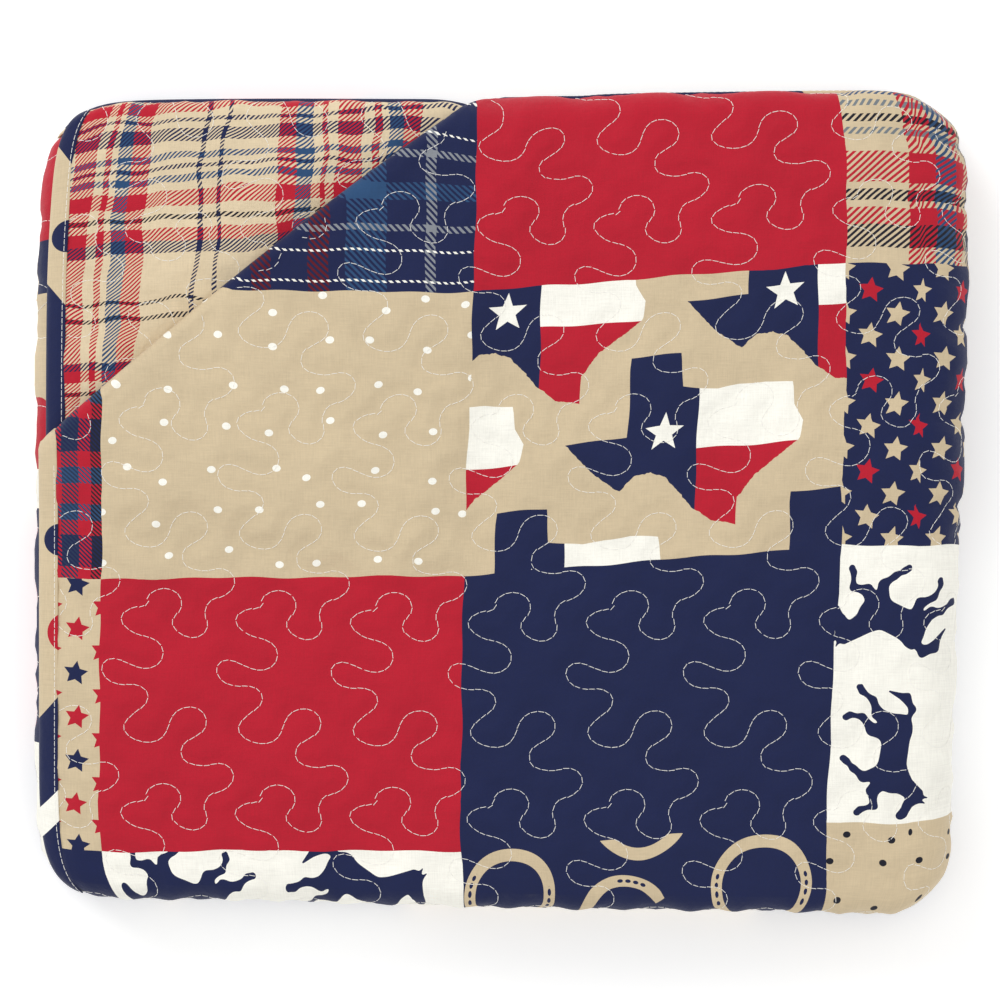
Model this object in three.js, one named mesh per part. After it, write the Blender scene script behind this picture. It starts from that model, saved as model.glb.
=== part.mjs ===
// A printed patchwork throw, machine quilted all over, bound round its edge and folded flat.
// It is folded twice: down its length in four plies, then across its width in three strips.
// One corner of the top ply is turned under, so the ply below shows there, reverse side up.
// Millimetres, +Z up. +X is the package's right and +Y its top edge, seen from straight above.

import * as THREE from 'three';

// Driving dimensions

const packageWidth = 428;
const packageHeight = 372;
const clothThickness = 4;
const plyPitch = 5; // from one ply to the next, so the plies lie 1 mm apart
const stripPitch = 21; // from one folded strip of four plies to the next
const flapTurn = 8; // radius at which the top ply turns down over the top side
const topTurnGap = 4; // how far the inner top fold stays behind the turn of the loose ends
const looseEdge = 6; // how far the bound edges stay inside the package's sides
const topPlySlip = 3; // how far the top ply's bound edge lies past the edge of the ply below
const slipSpan = 50; // the slip fades over this length of cloth before and after the lower fold

const bindingWidth = 8;
const bindingThickness = 3.4;
const pieceGap = 0.7;
const flapDrop = bindingWidth + pieceGap; // the loose top ends hang straight down by their binding

// The corner turned under: where its crease meets the bound left edge and the bound top end
const tuckDown = 176;
const tuckAcross = 222.6;
const tuckTurn = 2.4; // radius of the crease
const tuckRise = 4.6; // how far the top ply is lifted over the turned corner
const tuckBow = 4.5; // how far the crease bows out at its middle
const riseStart = 2; // the lift fades from here to riseEnd, outside the turned corner
const riseEnd = 30;

// How the package has settled, as shares of its half width and half height
const cornerInset = 0.054;
const cornerPower = 17;
const rightLean = 7;
const rightGrowth = 0.013;
const edgeDrop = 0.07;
const edgePower = 10;
const waveHeight = 0.008;
const waveAcross = { across: 3.1, down: 1.7 }; // radians of wave over half the package
const waveDown = { across: 0.8, down: 2.3 };
const leftDroop = 7;
const topDent = 2.6; // the top strip stands back this far at the crease's end, where it is doubled
const dentAt = 0.08;
const dentSpan = 0.4;
const dentDepth = { start: 0.7, full: 0.95 };

// Moves the finished package's box onto the origin
const centreShift = { x: 0.37, y: -0.59 };

// Quilting: one wandering row of stitches, repeated across and down
const rowSpacing = 53.1;
const rowRepeat = 89;
const rowPhase = { across: 47.7, down: 248.1 };
const puffHeight = 1.6;
const puffReach = 5.5;
const reverseShare = 0.7; // the reverse is puffed less than the front
const reliefFade = 14; // the relief dies away this far from the end of what shows
const rowChart = [
  { across: 0, down: 0 },
  { across: -11.7, down: 4.4 },
  { across: 6.6, down: 19.7 },
  { across: -1.5, down: 29.2 },
  { across: -17.5, down: 24.1 },
  { across: -20.9, down: 29.9 },
  { across: -13.9, down: 36.5 },
  { across: -1.5, down: 37.6 },
  { across: 0.7, down: 43.8 },
  { across: -10.2, down: 54 },
  { across: 0, down: 62 },
  { across: 10.2, down: 54 },
  { across: 20.4, down: 46 },
  { across: 27.7, down: 52.5 },
  { across: 16, down: 66.4 },
  { across: 24.8, down: 73.2 },
  { across: 36.5, down: 71.5 },
  { across: 40.1, down: 77.3 },
  { across: 26.7, down: 90.5 },
  { across: 28.4, down: 97.7 },
  { across: 21.2, down: 102.1 },
  { across: 12.4, down: 95.6 },
  { across: 15.3, down: 87.5 },
  { across: 5.8, down: 81 },
];

// How finely the surfaces are faceted
const topFacet = 12.5; // the top ply's face
const underFacet = 18; // its underside
const cornerFacet = 13; // the ply that shows at the turned corner
const longRunStops = [11, 30];
const shortRunStops = [12, 34];
const turnFacet = 3; // where the turned corner wraps over the top side
const turnSpan = 60;
const dentFacet = 65; // the lower plies of the top strip, where they are dented
const creaseSteps = 6;
const snap = 0.2; // a crease line closer than this to a corner of a facet passes through it

// Worked out from the dimensions above

const half = clothThickness / 2;
const halfWidth = packageWidth / 2;
const halfHeight = packageHeight / 2;
const outerPlyTurn = 1.5 * plyPitch;
const innerPlyTurn = plyPitch / 2;
const stripTurn = stripPitch / 2;
const bottomTurnAt = halfHeight - outerPlyTurn - half;
const flapTurnAt = halfHeight - half - flapTurn;
const topTurnAt = flapTurnAt - topTurnGap;
const sideTurnAt = halfWidth - stripTurn - outerPlyTurn - half;
const looseEdgeAt = halfWidth - looseEdge;
const baseLift = stripPitch + outerPlyTurn + half;
const quarter = Math.PI / 2;

function smooth(from, to, value) {
  const share = Math.min(1, Math.max(0, (value - from) / (to - from)));
  return share * share * (3 - 2 * share);
}

// A path of straight runs and round turns, walked in a plane. A turn's angle is positive to the left.
// at(s, offset) is the point a distance s along it, standing off to the left by the offset.
function foldPath(start, heading, steps) {
  const legs = [];
  let [x, y] = start;
  let angle = heading;
  let travelled = 0;
  for (const step of steps) {
    const length = step.run ?? Math.abs(step.turn) * step.radius;
    legs.push({ ...step, x, y, angle, from: travelled, length });
    if (step.run !== undefined) {
      x += step.run * Math.cos(angle);
      y += step.run * Math.sin(angle);
    } else {
      const side = Math.sign(step.turn) * step.radius;
      x += side * (Math.sin(angle + step.turn) - Math.sin(angle));
      y -= side * (Math.cos(angle + step.turn) - Math.cos(angle));
      angle += step.turn;
    }
    travelled += length;
  }

  function at(s, offset) {
    const leg = legs.find((each) => s <= each.from + each.length) ?? legs[legs.length - 1];
    const along = s - leg.from;
    if (leg.run !== undefined) {
      return [
        leg.x + along * Math.cos(leg.angle) - offset * Math.sin(leg.angle),
        leg.y + along * Math.sin(leg.angle) + offset * Math.cos(leg.angle),
      ];
    }
    const side = Math.sign(leg.turn) * leg.radius;
    const angleHere = leg.angle + (along / leg.length) * leg.turn;
    const centreX = leg.x - side * Math.sin(leg.angle);
    const centreY = leg.y + side * Math.cos(leg.angle);
    return [
      centreX + (side - offset) * Math.sin(angleHere),
      centreY - (side - offset) * Math.cos(angleHere),
    ];
  }
  return { legs, length: travelled, at };
}

// The four plies, seen from the package's side: first axis down the package, second axis up.
// It starts at the top ply's loose end and finishes at the loose end of the ply below it.
const plies = foldPath([-(flapTurnAt + flapTurn), outerPlyTurn - flapTurn - flapDrop], quarter, [
  { run: flapDrop },
  { turn: -quarter, radius: flapTurn },
  { run: flapTurnAt + bottomTurnAt },
  { turn: -2 * quarter, radius: outerPlyTurn },
  { run: bottomTurnAt + topTurnAt },
  { turn: -2 * quarter, radius: innerPlyTurn },
  { run: topTurnAt + bottomTurnAt },
  { turn: 2 * quarter, radius: innerPlyTurn },
  { run: bottomTurnAt + flapTurnAt },
  { turn: quarter, radius: flapTurn - plyPitch },
  { run: flapDrop },
]);

// The three strips, seen from the package's bottom edge: first axis to the right, second axis up.
const strips = foldPath([-looseEdgeAt, stripPitch], 0, [
  { run: looseEdgeAt + sideTurnAt },
  { turn: -2 * quarter, radius: stripTurn },
  { run: 2 * sideTurnAt },
  { turn: 2 * quarter, radius: stripTurn },
  { run: sideTurnAt + looseEdgeAt },
]);

const clothWidth = strips.length;
const clothLength = plies.length;
const [flapLeg, flapBend, topPly, , , , , , secondPly] = plies.legs;
const topStrip = strips.legs[0];
const topPlyStart = flapLeg.length + flapBend.length;
const topPlyEnd = topPly.from + topPly.length;

// The crease of the turned corner, in the flat cloth
const creaseLength = Math.hypot(tuckAcross, tuckDown);
const toCorner = { across: -tuckDown / creaseLength, down: -tuckAcross / creaseLength };
const bendLength = Math.PI * tuckTurn;

function pastCrease(across, down) {
  return toCorner.across * across + toCorner.down * (down - tuckDown);
}

function alongCrease(across, down) {
  const along = -toCorner.down * across + toCorner.across * (down - tuckDown);
  return along / creaseLength;
}

// Where the tip of the corner comes to lie, under the top ply
const turnedTip = (() => {
  const reach = pastCrease(0, 0);
  const depth = 2 * reach - bendLength;
  return { across: -depth * toCorner.across, down: -depth * toCorner.down };
})();

// How far a point of the top ply lies outside the turned corner beneath it
function outsideTurnedCorner(across, down) {
  const corners = [{ across: 0, down: tuckDown }, turnedTip, { across: tuckAcross, down: 0 }];
  let nearest = Infinity;
  let inside = pastCrease(across, down) <= 0;
  for (let i = 0; i < 2; i += 1) {
    const from = corners[i];
    const to = corners[i + 1];
    const edge = { across: to.across - from.across, down: to.down - from.down };
    const reach = { across: across - from.across, down: down - from.down };
    const dot = edge.across * reach.across + edge.down * reach.down;
    const share = Math.min(1, Math.max(0, dot / (edge.across ** 2 + edge.down ** 2)));
    const away = Math.hypot(reach.across - share * edge.across, reach.down - share * edge.down);
    nearest = Math.min(nearest, away);
    if (edge.across * reach.down - edge.down * reach.across > 0) inside = false;
  }
  return inside || pastCrease(across, down) > 0 ? 0 : nearest;
}

// Turns the corner of the top ply under. The third value is the height above the ply's middle.
function turnCorner(across, down, height) {
  if (down > topPlyEnd) return [across, down, height];
  const past = pastCrease(across, down);
  const lift = tuckRise * (1 - smooth(riseStart, riseEnd, outsideTurnedCorner(across, down)));
  let shift = 0;
  let level = height + lift;
  if (past > bendLength) {
    shift = bendLength - 2 * past;
    level = tuckRise - 2 * tuckTurn - height;
  } else if (past > 0) {
    const angle = past / tuckTurn;
    shift = (tuckTurn + height) * Math.sin(angle) - past;
    level = tuckRise - tuckTurn + (tuckTurn + height) * Math.cos(angle);
  }
  const share = Math.min(1, Math.max(0, alongCrease(across, down)));
  const fade = 1 - smooth(0, riseEnd * 2, Math.abs(past + shift));
  const bow = 4 * tuckBow * share * (1 - share) * fade;
  const push = shift + bow;
  return [across + push * toCorner.across, down + push * toCorner.down, level];
}

// The package as it has settled: rounded corners, edges pressed down, right side leaning in.
function settle(x, y, z, onTopStrip) {
  const nx = x / halfWidth;
  const ny = y / halfHeight;
  const ax = Math.abs(nx);
  const ay = Math.abs(ny);
  let sx = x * (1 - cornerInset * ay ** cornerPower * ax ** 2);
  let sy = y * (1 - cornerInset * ax ** cornerPower * ay ** 2);
  sx -= rightLean * Math.max(0, nx) * (1 - smooth(-0.8, 0.6, ny));
  sy *= 1 + rightGrowth * nx;
  const edge = 1 - (1 - ax ** edgePower) * (1 - ay ** edgePower);
  const swell = Math.sin(waveAcross.across * nx + waveAcross.down * ny);
  const wave = waveHeight * swell * Math.cos(waveDown.down * ny - waveDown.across * nx);
  let sz = z * (1 - edgeDrop * edge + wave);
  if (onTopStrip) {
    const overhang = Math.max(0, -x - sideTurnAt) / (halfWidth - sideTurnAt);
    sz -= leftDroop * overhang ** 2;
    const dent = topDent * Math.exp(-(((nx - dentAt) / dentSpan) ** 2));
    sy -= smooth(dentDepth.start, dentDepth.full, ny) * dent;
  }
  return new THREE.Vector3(sx + centreShift.x, sy + centreShift.y, sz);
}

// A point of the cloth: across and down the flat cloth, and its height above the middle of it.
function place(across, down, height) {
  const [turnedAcross, turnedDown, level] = turnCorner(across, down, height);
  const [downPackage, rise] = plies.at(turnedDown, level);
  const slip = topPlySlip * (1 - smooth(topPlyEnd - slipSpan, topPlyEnd + slipSpan, turnedDown));
  const [x, z] = strips.at(turnedAcross - slip, rise);
  return settle(x, -downPackage, z + baseLift, across < topStrip.length);
}

// Quilting relief

const rowPoints = (() => {
  const repeats = [-1, 0, 1];
  const chart = rowChart.map((stop) => new THREE.Vector3(stop.across, stop.down, 0));
  const long = repeats.flatMap((n) => chart.map((p) => p.clone().setY(p.y + n * rowRepeat)));
  const curve = new THREE.CatmullRomCurve3(long);
  return curve.getPoints(long.length * 6);
})();

function distanceToRow(across, down) {
  const a = across - rowPhase.across;
  const d = down - rowPhase.down;
  const column = a - rowSpacing * Math.round(a / rowSpacing);
  const row = d - rowRepeat * Math.floor(d / rowRepeat);
  let nearest = Infinity;
  for (const point of rowPoints) {
    for (const side of [-1, 0, 1]) {
      nearest = Math.min(nearest, Math.hypot(column + side * rowSpacing - point.x, row - point.y));
    }
  }
  return nearest;
}

function puff(across, down) {
  const distance = distanceToRow(across, down) / puffReach;
  return puffHeight * (1 - Math.exp(-distance * distance) - 0.5);
}

// The front's relief shows on the top ply, and the reverse's where the turned corner uncovers it
function frontRelief(across, down) {
  if (down > topPlyEnd || across > topStrip.length) return 0;
  const shows = 1 - smooth(-half, 0, pastCrease(across, down));
  const fade = smooth(0, reliefFade, topStrip.length - across) * smooth(0, reliefFade, topPlyEnd - down);
  return shows * fade * puff(across, down);
}

function reverseRelief(across, down) {
  if (down < secondPly.from || across > topStrip.length) return 0;
  const sameAcross = across + topPlySlip;
  const sameDown = topPlyStart + (clothLength - topPlyStart - down);
  const shows = smooth(half, half + reliefFade, pastCrease(sameAcross, sameDown));
  return reverseShare * shows * puff(across, down);
}

// Facets: convex patches of the flat cloth, split along the crease and joined into a closed shell

function stopsAlong(path, from, to, inRun) {
  const stops = [from, to];
  for (const leg of path.legs) {
    const places = leg.run !== undefined ? inRun(leg) : turnStops(leg);
    stops.push(...[0, ...places, leg.length].map((along) => leg.from + along));
  }
  return tidyStops(stops, from, to);
}

function stripStops(leg) {
  const ends = bothEnds(shortRunStops)(leg);
  const middle = (stop) => Math.abs(stop - leg.length / 2) < leg.length * dentSpan;
  return leg.from === 0 ? [...ends, ...evenStops(0, leg.length, dentFacet).filter(middle)] : ends;
}

function turnStops(leg) {
  const steps = Math.max(2, Math.round(Math.abs(leg.turn) / (Math.PI / (leg.radius > 4 ? 6 : 4))));
  return Array.from({ length: steps - 1 }, (_, i) => ((i + 1) * leg.length) / steps);
}

function tidyStops(stops, from, to) {
  const kept = [];
  for (const stop of stops.filter((s) => s >= from && s <= to).sort((a, b) => a - b)) {
    if (kept.length === 0 || stop - kept[kept.length - 1] > 0.02) kept.push(stop);
  }
  return kept;
}

function bothEnds(stops) {
  return (leg) => (leg.length < 2 * stops[stops.length - 1]
    ? []
    : [...stops, leg.length / 2, ...stops.map((stop) => leg.length - stop)]);
}

function evenStops(from, to, pitch) {
  const count = Math.max(1, Math.round((to - from) / pitch));
  return Array.from({ length: count + 1 }, (_, i) => from + ((to - from) * i) / count);
}

function cells(acrossStops, downStops, keep) {
  const found = [];
  for (let i = 0; i + 1 < acrossStops.length; i += 1) {
    for (let j = 0; j + 1 < downStops.length; j += 1) {
      const [a0, a1] = [acrossStops[i], acrossStops[i + 1]];
      const [d0, d1] = [downStops[j], downStops[j + 1]];
      if (keep((a0 + a1) / 2, (d0 + d1) / 2)) found.push([[a0, d0], [a1, d0], [a1, d1], [a0, d1]]);
    }
  }
  return found;
}

// Splits each patch along the lines on which the crease bends
function splitAtCrease(patches) {
  const bends = evenStops(0, bendLength, bendLength / creaseSteps);
  return bends.reduce((all, bend) => all.flatMap((patch) => splitPatch(patch, bend)), patches);
}

function splitPatch(patch, bend) {
  if (patch.some(([, down]) => down > topPlyEnd)) return [patch];
  const past = patch.map(([across, down]) => {
    const distance = pastCrease(across, down) - bend;
    return Math.abs(distance) < snap ? 0 : distance;
  });
  if (past.every((each) => each >= 0) || past.every((each) => each <= 0)) return [patch];
  const near = [];
  const far = [];
  patch.forEach((point, i) => {
    const next = (i + 1) % patch.length;
    if (past[i] <= 0) near.push(point);
    if (past[i] >= 0) far.push(point);
    if (past[i] * past[next] < 0) {
      const share = past[i] / (past[i] - past[next]);
      const cut = [0, 1].map((k) => point[k] + share * (patch[next][k] - point[k]));
      near.push(cut);
      far.push(cut);
    }
  });
  return [near, far].filter((each) => each.length > 2);
}

function key(point) {
  return `${Math.round(point[0] * 1000)},${Math.round(point[1] * 1000)}`;
}

// Adds to each patch the corners of its neighbours that lie on its sides
function shareCorners(patches, corners) {
  const onAcross = new Map();
  const onDown = new Map();
  for (const [across, down] of corners) {
    const a = Math.round(across * 1000);
    const d = Math.round(down * 1000);
    if (!onAcross.has(a)) onAcross.set(a, new Map());
    if (!onDown.has(d)) onDown.set(d, new Map());
    onAcross.get(a).set(d, [across, down]);
    onDown.get(d).set(a, [across, down]);
  }
  return patches.map((patch) => patch.flatMap((point, i) => {
    const next = patch[(i + 1) % patch.length];
    const axis = Math.abs(point[0] - next[0]) < 0.001 ? 1 : 0;
    if (axis === 0 && Math.abs(point[1] - next[1]) > 0.001) return [point];
    const line = axis === 1 ? onAcross : onDown;
    const others = line.get(Math.round(point[1 - axis] * 1000)) ?? new Map();
    const [low, high] = [point[axis], next[axis]].sort((m, n) => m - n);
    const between = [...others.values()].filter((c) => c[axis] > low + 0.002 && c[axis] < high - 0.002);
    between.sort((m, n) => (next[axis] > point[axis] ? 1 : -1) * (m[axis] - n[axis]));
    return [point, ...between];
  }));
}

function patchTriangles(patch, plain) {
  if (plain) return patch.slice(2).map((_, i) => [patch[0], patch[i + 1], patch[i + 2]]);
  const middle = [0, 1].map((k) => patch.reduce((sum, point) => sum + point[k], 0) / patch.length);
  return patch.map((point, i) => [point, patch[(i + 1) % patch.length], middle]);
}

// Sides of the patches that no other patch shares
function openSides(patches) {
  const sides = new Map();
  for (const patch of patches) {
    patch.forEach((from, i) => {
      const to = patch[(i + 1) % patch.length];
      const back = `${key(to)}|${key(from)}`;
      if (sides.has(back)) sides.delete(back);
      else sides.set(`${key(from)}|${key(to)}`, [from, to]);
    });
  }
  return [...sides.values()];
}

// Joins the patches of both faces of a sheet, and the wall along its edges, into one closed mesh
function clothSolid(name, material, sheet) {
  const front = splitAtCrease(sheet.front);
  const reverse = splitAtCrease(sheet.reverse);
  const rim = [...edgeCorners(front), ...edgeCorners(reverse)];
  const frontPatches = shareCorners(front, [...front.flat(), ...rim]);
  const reversePatches = shareCorners(reverse, [...reverse.flat(), ...rim]);
  const positions = [];

  const frontAt = ([a, d]) => place(a, d, sheet.thickness / 2 + sheet.frontRelief(a, d));
  const reverseAt = ([a, d]) => place(a, d, -sheet.thickness / 2 - sheet.reverseRelief(a, d));
  const add = (corners) => corners.forEach((corner) => positions.push(...corner.toArray()));

  frontPatches.forEach((patch, i) => {
    const plain = patch.length === front[i].length;
    for (const triangle of patchTriangles(patch, plain)) add(triangle.map(frontAt).reverse());
  });
  reversePatches.forEach((patch, i) => {
    const plain = patch.length === reverse[i].length;
    for (const triangle of patchTriangles(patch, plain)) add(triangle.map(reverseAt));
  });
  for (const [from, to] of openSides(frontPatches)) {
    const [a, b, c, d] = [frontAt(from), frontAt(to), reverseAt(to), reverseAt(from)];
    add([a, b, c]);
    add([a, c, d]);
  }
  const geometry = new THREE.BufferGeometry();
  geometry.setAttribute('position', new THREE.Float32BufferAttribute(positions, 3));
  geometry.computeVertexNormals();
  const mesh = new THREE.Mesh(geometry, material);
  mesh.name = name;
  return mesh;
}

function edgeCorners(patches) {
  return openSides(shareCorners(patches, patches.flat())).flat();
}

// The quilted cloth, faceted finely where it shows

function quiltPatches(box, blocks) {
  const across = stopsAlong(strips, box.left, box.right, stripStops);
  const down = stopsAlong(plies, box.top, box.bottom, bothEnds(longRunStops));
  const within = (block, a, d) => a > block.left && a < block.right && d > block.top && d < block.bottom;
  const coarse = cells(across, down, (a, d) => !blocks.some((block) => within(block, a, d)));
  const fine = blocks.flatMap((block) => {
    const bends = down.filter((d) => d >= block.top && d <= block.bottom && !inLongRun(d));
    const runs = plies.legs.filter((leg) => leg.run > 2 * flapDrop);
    const rows = runs.flatMap((leg) => evenStops(leg.from, leg.from + leg.length, block.facet));
    const downs = tidyStops([...bends, ...rows, block.top, block.bottom], block.top, block.bottom);
    return cells(evenStops(block.left, block.right, block.facet), downs, () => true);
  });
  return narrowAtTopSide([...coarse, ...fine]);
}

// Cuts the patches that wrap over the top side beside the crease into small ones
function narrowAtTopSide(patches) {
  const bottom = topPlyStart + turnSpan / 4;
  return patches.flatMap((patch) => {
    const [[left, top], , [right, low]] = patch;
    if (low > bottom || left > tuckAcross || right < tuckAcross - turnSpan) return [patch];
    return cells(evenStops(left, right, turnFacet), evenStops(top, low, turnFacet), () => true);
  });
}

function inLongRun(down) {
  return plies.legs.some((leg) => (
    leg.run > 2 * flapDrop && down > leg.from + 0.01 && down < leg.from + leg.length - 0.01));
}

const inset = bindingWidth + pieceGap;
const cloth = { left: inset, right: clothWidth - inset, top: inset, bottom: clothLength - inset };
const topBlock = { left: inset, right: topStrip.length, top: inset, bottom: topPlyEnd };
const cornerBlock = {
  left: inset,
  right: topStrip.length / 2,
  top: secondPly.from + secondPly.length / 2,
  bottom: clothLength - inset,
};
const quiltSheet = {
  thickness: clothThickness,
  front: quiltPatches(cloth, [{ ...topBlock, facet: topFacet }]),
  reverse: quiltPatches(cloth, [
    { ...topBlock, facet: underFacet },
    { ...cornerBlock, facet: cornerFacet },
  ]),
  frontRelief,
  reverseRelief,
};

// The binding, a band round all four edges that follows the folds of the cloth
function bandPatches() {
  const corners = [...quiltSheet.front, ...quiltSheet.reverse].flat();
  const stopsOn = (axis, edge, length) => {
    const onEdge = corners.filter((corner) => corner[1 - axis] === edge).map((corner) => corner[axis]);
    const between = onEdge.filter((stop) => stop > inset + pieceGap && stop < length - inset - pieceGap);
    return tidyStops([bindingWidth, length - bindingWidth, ...between], bindingWidth, length);
  };
  const always = () => true;
  const topStops = [0, ...stopsOn(0, cloth.top, clothWidth), clothWidth];
  const bottomStops = [0, ...stopsOn(0, cloth.bottom, clothWidth), clothWidth];
  return narrowAtTopSide([
    ...cells(topStops, [0, bindingWidth], always),
    ...cells(bottomStops, [clothLength - bindingWidth, clothLength], always),
    ...cells([0, bindingWidth], stopsOn(1, cloth.left, clothLength), always),
    ...cells([clothWidth - bindingWidth, clothWidth], stopsOn(1, cloth.right, clothLength), always),
  ]);
}

const bandSheet = {
  thickness: bindingThickness,
  front: bandPatches(),
  reverse: bandPatches(),
  frontRelief: () => 0,
  reverseRelief: () => 0,
};

const printedCotton = new THREE.MeshStandardMaterial({ color: 0xb52a38, roughness: 0.85, metalness: 0 });
const boundEdge = new THREE.MeshStandardMaterial({ color: 0x232a55, roughness: 0.85, metalness: 0 });

const throwBlanket = new THREE.Group();
throwBlanket.add(
  clothSolid('quilt', printedCotton, quiltSheet),
  clothSolid('binding', boundEdge, bandSheet),
);

export default throwBlanket;
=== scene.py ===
import math

import bpy
import numpy as np
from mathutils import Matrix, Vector
from mathutils.bvhtree import BVHTree
from mathutils.kdtree import KDTree


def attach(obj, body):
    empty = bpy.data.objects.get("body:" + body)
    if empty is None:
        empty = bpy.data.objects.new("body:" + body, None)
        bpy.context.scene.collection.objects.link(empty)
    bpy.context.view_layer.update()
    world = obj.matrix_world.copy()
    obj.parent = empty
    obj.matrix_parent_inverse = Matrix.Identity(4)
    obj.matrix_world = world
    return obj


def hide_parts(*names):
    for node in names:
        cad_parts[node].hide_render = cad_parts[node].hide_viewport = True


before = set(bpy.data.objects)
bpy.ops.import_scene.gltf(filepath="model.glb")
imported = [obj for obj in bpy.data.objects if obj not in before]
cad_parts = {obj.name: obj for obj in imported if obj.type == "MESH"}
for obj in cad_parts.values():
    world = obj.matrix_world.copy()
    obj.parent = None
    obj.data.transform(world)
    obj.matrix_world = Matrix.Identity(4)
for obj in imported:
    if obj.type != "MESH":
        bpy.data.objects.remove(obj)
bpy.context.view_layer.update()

# A printed patchwork throw, machine quilted all over, bound round its edge and folded flat.
# It is folded down its length in four plies, then across its width in three strips, and one
# corner of the top ply is turned under. Flat cloth is measured in millimetres: across from the
# left edge and down from the top end. The meshes are made in metres.

mm = 0.001

folding = {
    "packageWidth": 428,
    "packageHeight": 372,
    "clothThickness": 4,
    "plyPitch": 5,  # from one ply to the next
    "stripPitch": 21,  # from one folded strip of four plies to the next
    "flapTurn": 8,  # radius at which the top ply turns down over the top side
    "topTurnGap": 4,
    "looseEdge": 6,  # how far the bound edges stay inside the package's sides
    "topPlySlip": 3,
    "slipSpan": 50,
    "flapDrop": 8.7,  # the loose top ends hang straight down by this much
}

turnedCorner = {
    "down": 176,  # where the crease meets the bound left edge
    "across": 222.6,  # and the bound top end
    "turn": 2.4,  # radius of the crease at the cloth's middle
    "rise": 4.6,  # how far the corner beneath lifts the ply
    "riseStart": 2,  # the lift fades out between these distances from that corner
    "riseEnd": 30,
    "bow": 4.5,  # how far the crease bows out at its middle
}

settling = {
    "cornerInset": 0.054,  # how far the package's corners round in, as a share of half its side
    "cornerPower": 17,  # higher numbers keep the rounding nearer the corners
    "rightLean": 7,  # how far the right side leans in towards the bottom
    "leanSpan": (-0.8, 0.6),  # the lean fades out between these heights up the side
    "rightGrowth": 0.013,  # how much longer the right side is than the middle
    "edgeDrop": 0.07,  # how much lower the package is at its edges
    "edgePower": 10,
    "waveHeight": 0.008,  # a slow swell over the whole package
    "waveAcross": (3.1, 1.7),
    "waveDown": (0.8, 2.3),
    "leftDroop": 7,  # how far the top strip's left edge hangs
    # dents in each side: how deep, where along the side from -1 to 1, and how wide
    "dents": {
        "top": [(1.2, -0.1, 0.3), (3, -0.04, 0.06), (4.6, 0.06, 0.085), (1.5, 0.97, 0.04)],
        "bottom": [(2.3, -0.62, 0.42), (-2.2, 0.93, 0.14)],
        "left": [(4, 1, 0.33)],
        "right": [(1.8, 0.9, 0.02), (1.5, 0.738, 0.014), (1.4, 0.43, 0.014), (1.5, 0.2, 0.014),
                  (1.6, -0.01, 0.014), (1.3, -0.08, 0.014)],
    },
    "dentReach": (0.7, 0.95),  # a dent grows to its full depth between these shares of the way out
    "uncoveredPush": 3.6,  # how far the ply that the turned corner uncovers creeps out at the top
    "centreShift": (0.37, -0.59),
}

quilting = {
    "rowSpacing": 53.1,
    "rowRepeat": 89,
    "rowPhase": (47.7, 248.1),
    "puffHeight": 1.6,  # how high the cloth puffs up between the rows
    "puffReach": 5.5,
    "pucker": 0.16,  # small gathers across each row of stitches
    "puckerLength": 7.5,
    "puckerReach": 7,
    "wobble": [(1.7, 23, 31), (1.3, 11, -17)],  # how unevenly they follow: size, then lengths both ways
    "reverseShare": 0.7,  # the reverse puffs by this share of the front
    "fade": 14,
    "foldMargin": 4,  # the relief stops this far short of a fold
    "foldFades": (8, 4, 6),  # and fades over these lengths: top, bottom folds and left folds
    "curveSteps": 4,
    # where the rows wander from their even repeat: across, down, how far across, how far down
    "drift": [
        (46, 157, 2.3, -4.3), (46, 246, 2.4, -3.5), (99, 247, 0.7, -2.2), (152, 247, -0.4, -1.1),
        (46, 335, 1.7, -1.9), (98, 335, 0.2, -2.4), (151, 336, -1.1, -1.3), (206, 247, 0.7, -1.1),
        (261, 246, 2.9, -2.2), (316, 244, 5.5, -4), (204, 336, -0.4, -0.6), (259, 336, 1.8, -0.9),
        (313, 336, 3.7, -1.3), (155, 64, 5.4, -4.1), (209, 66, 5.3, -4.3), (393, 103, 8.3, -11.6),
    ],
    "driftReach": 60,
    "driftHold": 0.05,  # holds the rows to their even repeat far from the measured places
    "chart": [
        (0, 0), (-5, 0.8), (-9.3, 2.8), (-11.5, 5.8), (-9.9, 9.4), (-5, 12.8), (2, 14.8),
        (6.2, 17.4), (7.8, 21.2), (6.7, 25.4), (2.8, 28.2), (-1.9, 28.6), (-7.3, 26.9), (-12.7, 24.8),
        (-17.1, 24.8), (-20, 27.4), (-19.7, 31.2), (-16.6, 34.6), (-11.2, 36.2), (-5, 36.2), (-0.6, 38.2),
        (0.9, 41.2), (-0.3, 45.1), (-5, 48.9), (-8.9, 52.8), (-9.9, 55.9), (-7.8, 59.3), (-3.4, 61.6),
        (2, 62.3), (6.7, 60.8), (9.8, 57.1), (11.3, 52.8), (13.7, 48.9), (17.5, 46.6), (22.2, 46.3),
        (26.1, 48.2), (28.1, 52), (26.9, 56.6), (22.2, 60), (18, 62.8), (16.8, 65.9), (17.5, 69.7),
        (21.4, 72), (27.6, 72.8), (33.9, 71.7), (38.5, 73.1), (40.8, 76.7), (39.8, 80.8), (35.4, 84.3),
        (30, 86.3), (27.2, 91.7), (28.4, 97.1), (27.3, 100.5), (24.5, 102.7), (20.7, 103.3), (16, 101.7),
        (12.3, 97.9), (12.9, 94.4), (15.5, 91), (16.3, 87.9), (14.9, 84), (11.3, 81.7), (7.1, 81.3),
        (3.1, 82.8), (0.5, 85.6),
    ],
}

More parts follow.
